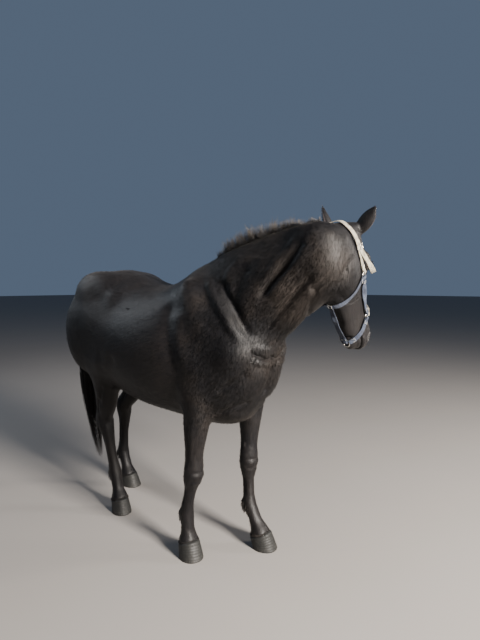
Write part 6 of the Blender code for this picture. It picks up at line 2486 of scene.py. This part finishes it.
    def build_strap(self, strap: Strap) -> None:
        """Builds one strap and notes where its stitches go."""
        line, outs = self.line_of(strap)
        total = float(distances(line)[-1])
        runs = self.profile(strap, total)
        frames = self.framed(strap, runs, line, outs)
        lifts = self.lifted(runs, frames)
        rings, weave = [], []
        for (u, high, turn, length), (point, way, side, out, half), lift in zip(runs, frames, lifts):
            faceward = -way * math.sin(turn) + out * math.cos(turn)
            ring = []
            for top in (-1, 1):
                for share, raised in list(zip(self.spots, lift))[::-top]:
                    edge = 1.0 - 0.45 * max(0.0, (abs(share) - 0.72) / 0.28) ** 2
                    reach = half * share
                    slide = self.slide(strap, u, total, reach)
                    spot = point + side * reach + out * (high + raised) + way * slide
                    ring.append(spot + faceward * (top * self.thickness / 2 * edge))
                    weave.append((length, share * self.width / 2))
            rings.append(ring)
        obj = new_object(strap.name.replace("halter", "webbing"), *lofted(rings))
        store_map(obj.data, "Weave", np.array(weave)[corners_of(obj.data)])
        facing_out(obj)
        obj.data.materials.append(self.finishes.pale_webbing if strap.pale else self.finishes.dark_webbing)
        self.sew(strap, total, runs, frames, lifts)
        ride_as(obj, "webbing" if strap.pale else "dark_webbing", strap.name)

    def narrowing(self, strap: Strap, u: float, total: float) -> float:
        """How much narrower the strap is drawn near a ring, or towards its pointed end."""
        share = 1.0
        if strap.first is End.RING:
            share = min(share, 0.74 + 0.26 * float(smooth(u, 0.014, 0.034)))
        if strap.last is End.RING:
            share = min(share, 0.74 + 0.26 * float(smooth(total - u, 0.014, 0.034)))
        if strap.last is End.POINT:
            share = min(share, 0.86 + 0.14 * float(smooth(total - u, 0.0, 0.006)))
        return share

    def slide(self, strap: Strap, u: float, total: float, reach: float) -> float:
        """How far a place on the strap moves along it so that the fold follows the ring's curve."""
        moved = 0.0
        for held, index, far, sign in ((strap.first, 0, u, -1.0), (strap.last, -1, total - u, 1.0)):
            if held is End.RING and far < 0.034:
                radius = self.ring_at(strap, index)[1]
                drop = radius - math.sqrt(max(radius**2 - min(abs(reach), radius * 0.9) ** 2, 0.0))
                moved += sign * drop * float(smooth(far, 0.034, 0.014))
        return moved

    def sew(self, strap: Strap, total: float, runs: list, frames: list, lifts: np.ndarray) -> None:
        """Notes the box of stitches over each folded end."""
        box_stitches, half_wide, long, margin = 34, 0.0085, 0.014, 0.014
        corners = (0.0, 0.30, 0.50, 0.80, 1.0)
        ends = []
        if strap.first is End.RING:
            ends.append((self.ring_at(strap, 0)[1], 1.0))
        if strap.last is End.RING:
            ends.append((self.ring_at(strap, -1)[1], -1.0))
        if strap.first is End.SEWN and strap.last is End.RING:
            ends.append((-0.022, 1.0))
        for radius, sign in ends:
            near = radius + margin
            for number in range(box_stitches):
                share = number / box_stitches
                far = near + long * float(np.interp(share, corners, (0, 1, 1, 0, 0)))
                across = half_wide * float(np.interp(share, corners, (-1, -1, 1, 1, -1)))
                u = far if sign > 0 else total - far
                row = min(
                    range(len(runs)),
                    key=lambda r: abs(runs[r][0] - u) + (0.0 if runs[r][1] < 0.006 else 1.0),
                )
                point, way, side, out, _ = frames[row]
                point = point + way * (u - runs[row][0])
                high = 1.5 * self.thickness + 0.0004
                lift = float(np.interp(across / (self.width / 2), self.spots, lifts[row]))
                direction = side if 0.30 <= share < 0.50 or share >= 0.80 else way
                spot = point + side * across + out * (high + lift)
                self.stitches.append((spot, direction, out, 0.0023, (0.5, 0.5)))

    def build_ring(self, name: str) -> None:
        """Builds one ring."""
        ring = RINGS[name]
        centre, normal = self.rings[name]
        lay = Vector((0, 0, 1)).rotation_difference(Vector(normal)).to_matrix()
        rings = []
        for turn in np.linspace(0, 2 * math.pi, 49)[:-1]:
            loop = []
            for swing in np.linspace(0, 2 * math.pi, 15)[:-1]:
                reach = ring.radius + ring.wire * math.cos(swing)
                local = Vector((reach * math.cos(turn), reach * math.sin(turn), ring.wire * math.sin(swing)))
                loop.append(Vector(centre) + lay @ local)
            rings.append(loop)
        obj = facing_out(new_object(ring.node.replace("halter", "steel"), *lofted(rings, True)))
        obj.data.materials.append(self.finishes.steel)
        ride_as(obj, "ring_metal", ring.node)

    def rod(self, path: Sequence[Vector], radius: float, closed: bool, normal: Vector) -> tuple[list, list]:
        """A round bar along a path lying in a plane."""
        rings = []
        for index, point in enumerate(path):
            after = path[(index + 1) % len(path)] if closed or index + 1 < len(path) else point
            before = path[index - 1] if closed or index else point
            way = (after - before).normalized()
            side = way.cross(normal).normalized()
            up = side.cross(way)
            rings.append([
                point + (side * math.cos(t) + up * math.sin(t)) * radius
                for t in np.linspace(0, 2 * math.pi, 13)[:-1]
            ])
        return lofted(rings, closed)

    def build_buckle(self) -> None:
        """Builds the buckle's frame and tongue."""
        low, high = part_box("halter_buckle")
        place, normal = self.skin.nearest((low + high) / 2)
        ends = self.stance.head_spots([(0.04, -0.075, -0.082), (0.16, -0.082, -0.096)])
        down = Vector(unit(ends[1] - ends[0]))
        across = normal.cross(down).normalized()
        down = across.cross(normal)
        centre = place + normal * (self.clearance + self.thickness * 1.5 + 0.0022)
        corners = []
        for turn in np.linspace(0, 2 * math.pi, 41)[:-1]:
            x = math.copysign(abs(math.cos(turn)) ** 0.38, math.cos(turn)) * 0.0158
            y = math.copysign(abs(math.sin(turn)) ** 0.38, math.sin(turn)) * 0.0125
            bow = 0.0016 * (abs(y) / 0.0125) ** 2
            corners.append(centre + across * x + down * y + normal * bow)
        tongue = [
            centre - down * 0.0128 + normal * (0.0012 + 0.0030 * math.sin(math.pi * s)) + down * (0.0262 * s)
            for s in np.linspace(0, 1, 9)
        ]
        points: list = []
        faces: list = []
        for part_points, part_faces in (
            self.rod(corners, 0.0021, True, normal), self.rod(tongue, 0.0014, False, across)
        ):
            start = len(points)
            points += part_points
            faces += [tuple(i + start for i in face) for face in part_faces]
        obj = facing_out(new_object("steel_buckle", points, faces))
        obj.data.materials.append(self.finishes.steel)
        ride_as(obj, "ring_metal", "halter_buckle")

    def press(self, mesh: bpy.types.Mesh) -> None:
        """Lays the coat flat and thin under the straps."""
        points = coordinates(mesh)
        lifts = np.empty(len(points), np.float32)
        mesh.attributes["fur_lift"].data.foreach_get("value", lifts)
        thick = np.empty(len(points), np.float32)
        mesh.attributes["fur_density"].data.foreach_get("value", thick)
        near = (self.stance.head_share(points) > 0.02).nonzero()[0]
        gap = np.full(len(near), 9.0)
        for strap in halter_straps():
            if strap.name == "halter_strap_end":
                continue
            line, _ = self.line_of(strap)
            for spot in line:
                gap = np.minimum(gap, np.linalg.norm(points[near] - spot, axis=1))
        flat = smooth(gap, 0.024, 0.016)
        lifts[near] = lifts[near] * (1 - 0.85 * flat)
        thick[near] = thick[near] * (1 - 0.80 * flat)
        mesh.attributes["fur_lift"].data.foreach_set("value", lifts)
        mesh.attributes["fur_density"].data.foreach_set("value", thick)

    def build(self) -> None:
        """Builds the whole halter."""
        for strap in halter_straps():
            self.build_strap(strap)
        for name in RINGS:
            self.build_ring(name)
        self.build_buckle()
        points = planted_points("stitch_seats", self.stitches)
        shape = HairShape("stitch", 4, 4, 0.26, 0.7, 0.0).made()
        piece = planting_tree().run(
            "webbing_stitches", points, {"Shape": shape, "Finish": self.finishes.thread}
        )
        discard(points, shape)
        ride_as(piece, "webbing")


# ---------------------------------------------------------------- light and camera
class Studio:
    """The pale floor, the lights and the camera."""

    # the camera: its place, focal length in millimetres, heading, and tilt down in degrees
    stand = (-1.7321, -2.1114, 1.37)
    lens = 27.06
    heading = (0.7431, 0.6691)
    pitch = 4.162
    sky = (0.50, 0.68, 1.0, 1.0)
    sky_strength = 0.19
    floor_reach = 60.0
    sun = (1.0, 0.93, 0.85)

    def __init__(self, stance: Stance, finishes: Finishes) -> None:
        """Takes where the horse stands and the finishes."""
        self.stance = stance
        self.finishes = finishes

    def lamp(self, name: str, place: Point, target: Point, size: float, power: float, colour: Point) -> None:
        """Adds one square soft light looking at a place."""
        light = bpy.data.lights.new(name, "AREA")
        light.size = size
        light.energy = power
        light.color = colour
        made = bpy.data.objects.new(light.name, light)
        made.location = place
        made.rotation_euler = (Vector(target) - Vector(place)).to_track_quat("-Z", "Y").to_euler()
        bpy.context.scene.collection.objects.link(made)

    def build(self) -> None:
        """Builds the stage."""
        far = self.floor_reach
        floor = new_object(
            "floor", ((-far, -far, 0), (far, -far, 0), (far, far, 0), (-far, far, 0)), ((0, 1, 2, 3),)
        )
        floor.data.materials.append(self.finishes.floor)
        scene = bpy.context.scene
        world = bpy.data.worlds.new("soft_sky")
        world.use_nodes = True
        back = next(node for node in world.node_tree.nodes if node.type == "BACKGROUND")
        back.inputs["Color"].default_value = self.sky
        back.inputs["Strength"].default_value = self.sky_strength
        scene.world = world
        self.lamp("low_sun", (-0.55, -5.8, 3.0), (0.0, -0.6, 1.25), 1.3, 2300.0, self.sun)
        self.lamp("sun_side", (4.2, -4.0, 2.9), (0.1, -0.4, 1.2), 1.0, 240.0, self.sun)
        self.lamp("soft_left", (-4.5, -1.5, 3.5), (0.0, 0.0, 1.0), 3.0, 8.0, (0.80, 0.88, 1.0))
        self.lamp("soft_back", (-1.5, 4.5, 3.5), (0.0, 0.5, 1.0), 3.0, 90.0, (0.85, 0.92, 1.0))
        lens = bpy.data.cameras.new("stand_camera")
        lens.lens = self.lens
        lens.sensor_width = 36.0
        camera = bpy.data.objects.new("stand_camera", lens)
        camera.location = self.stance.shift + Vector(self.stand)
        pitch = math.radians(self.pitch)
        level = math.cos(pitch)
        ahead = Vector((self.heading[0] * level, self.heading[1] * level, -math.sin(pitch)))
        camera.rotation_euler = ahead.to_track_quat("-Z", "Y").to_euler()
        scene.collection.objects.link(camera)
        scene.camera = camera


def main() -> None:
    """Builds the horse, its halter and the stage."""
    logging.basicConfig(level=logging.INFO, format="%(message)s")
    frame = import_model()
    stance = Stance()
    finishes = Finishes()
    hide = Hide(frame, stance)
    obj = hide.built()
    obj.data.materials.append(finishes.coat)
    skin = Skin(obj)
    halter = Halter(skin, stance, finishes)
    halter.press(obj.data)
    Coat(obj, finishes).build()
    ride_as(obj, "coat", *FLESH)
    Mane(skin, stance, finishes).build()
    Tail(skin, stance, finishes).build()
    Trimmings(skin, stance, finishes).build()
    for leg in LEGS:
        sizes = (0.066, 0.060) if leg.fore else (0.065, 0.056)
        Hoof(leg, *sizes).build(stance, finishes)
    for side in Side:
        Eyeball(side).build(stance, finishes)
    halter.build()
    Studio(stance, finishes).build()
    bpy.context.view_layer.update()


if __name__ == "__main__":
    main()
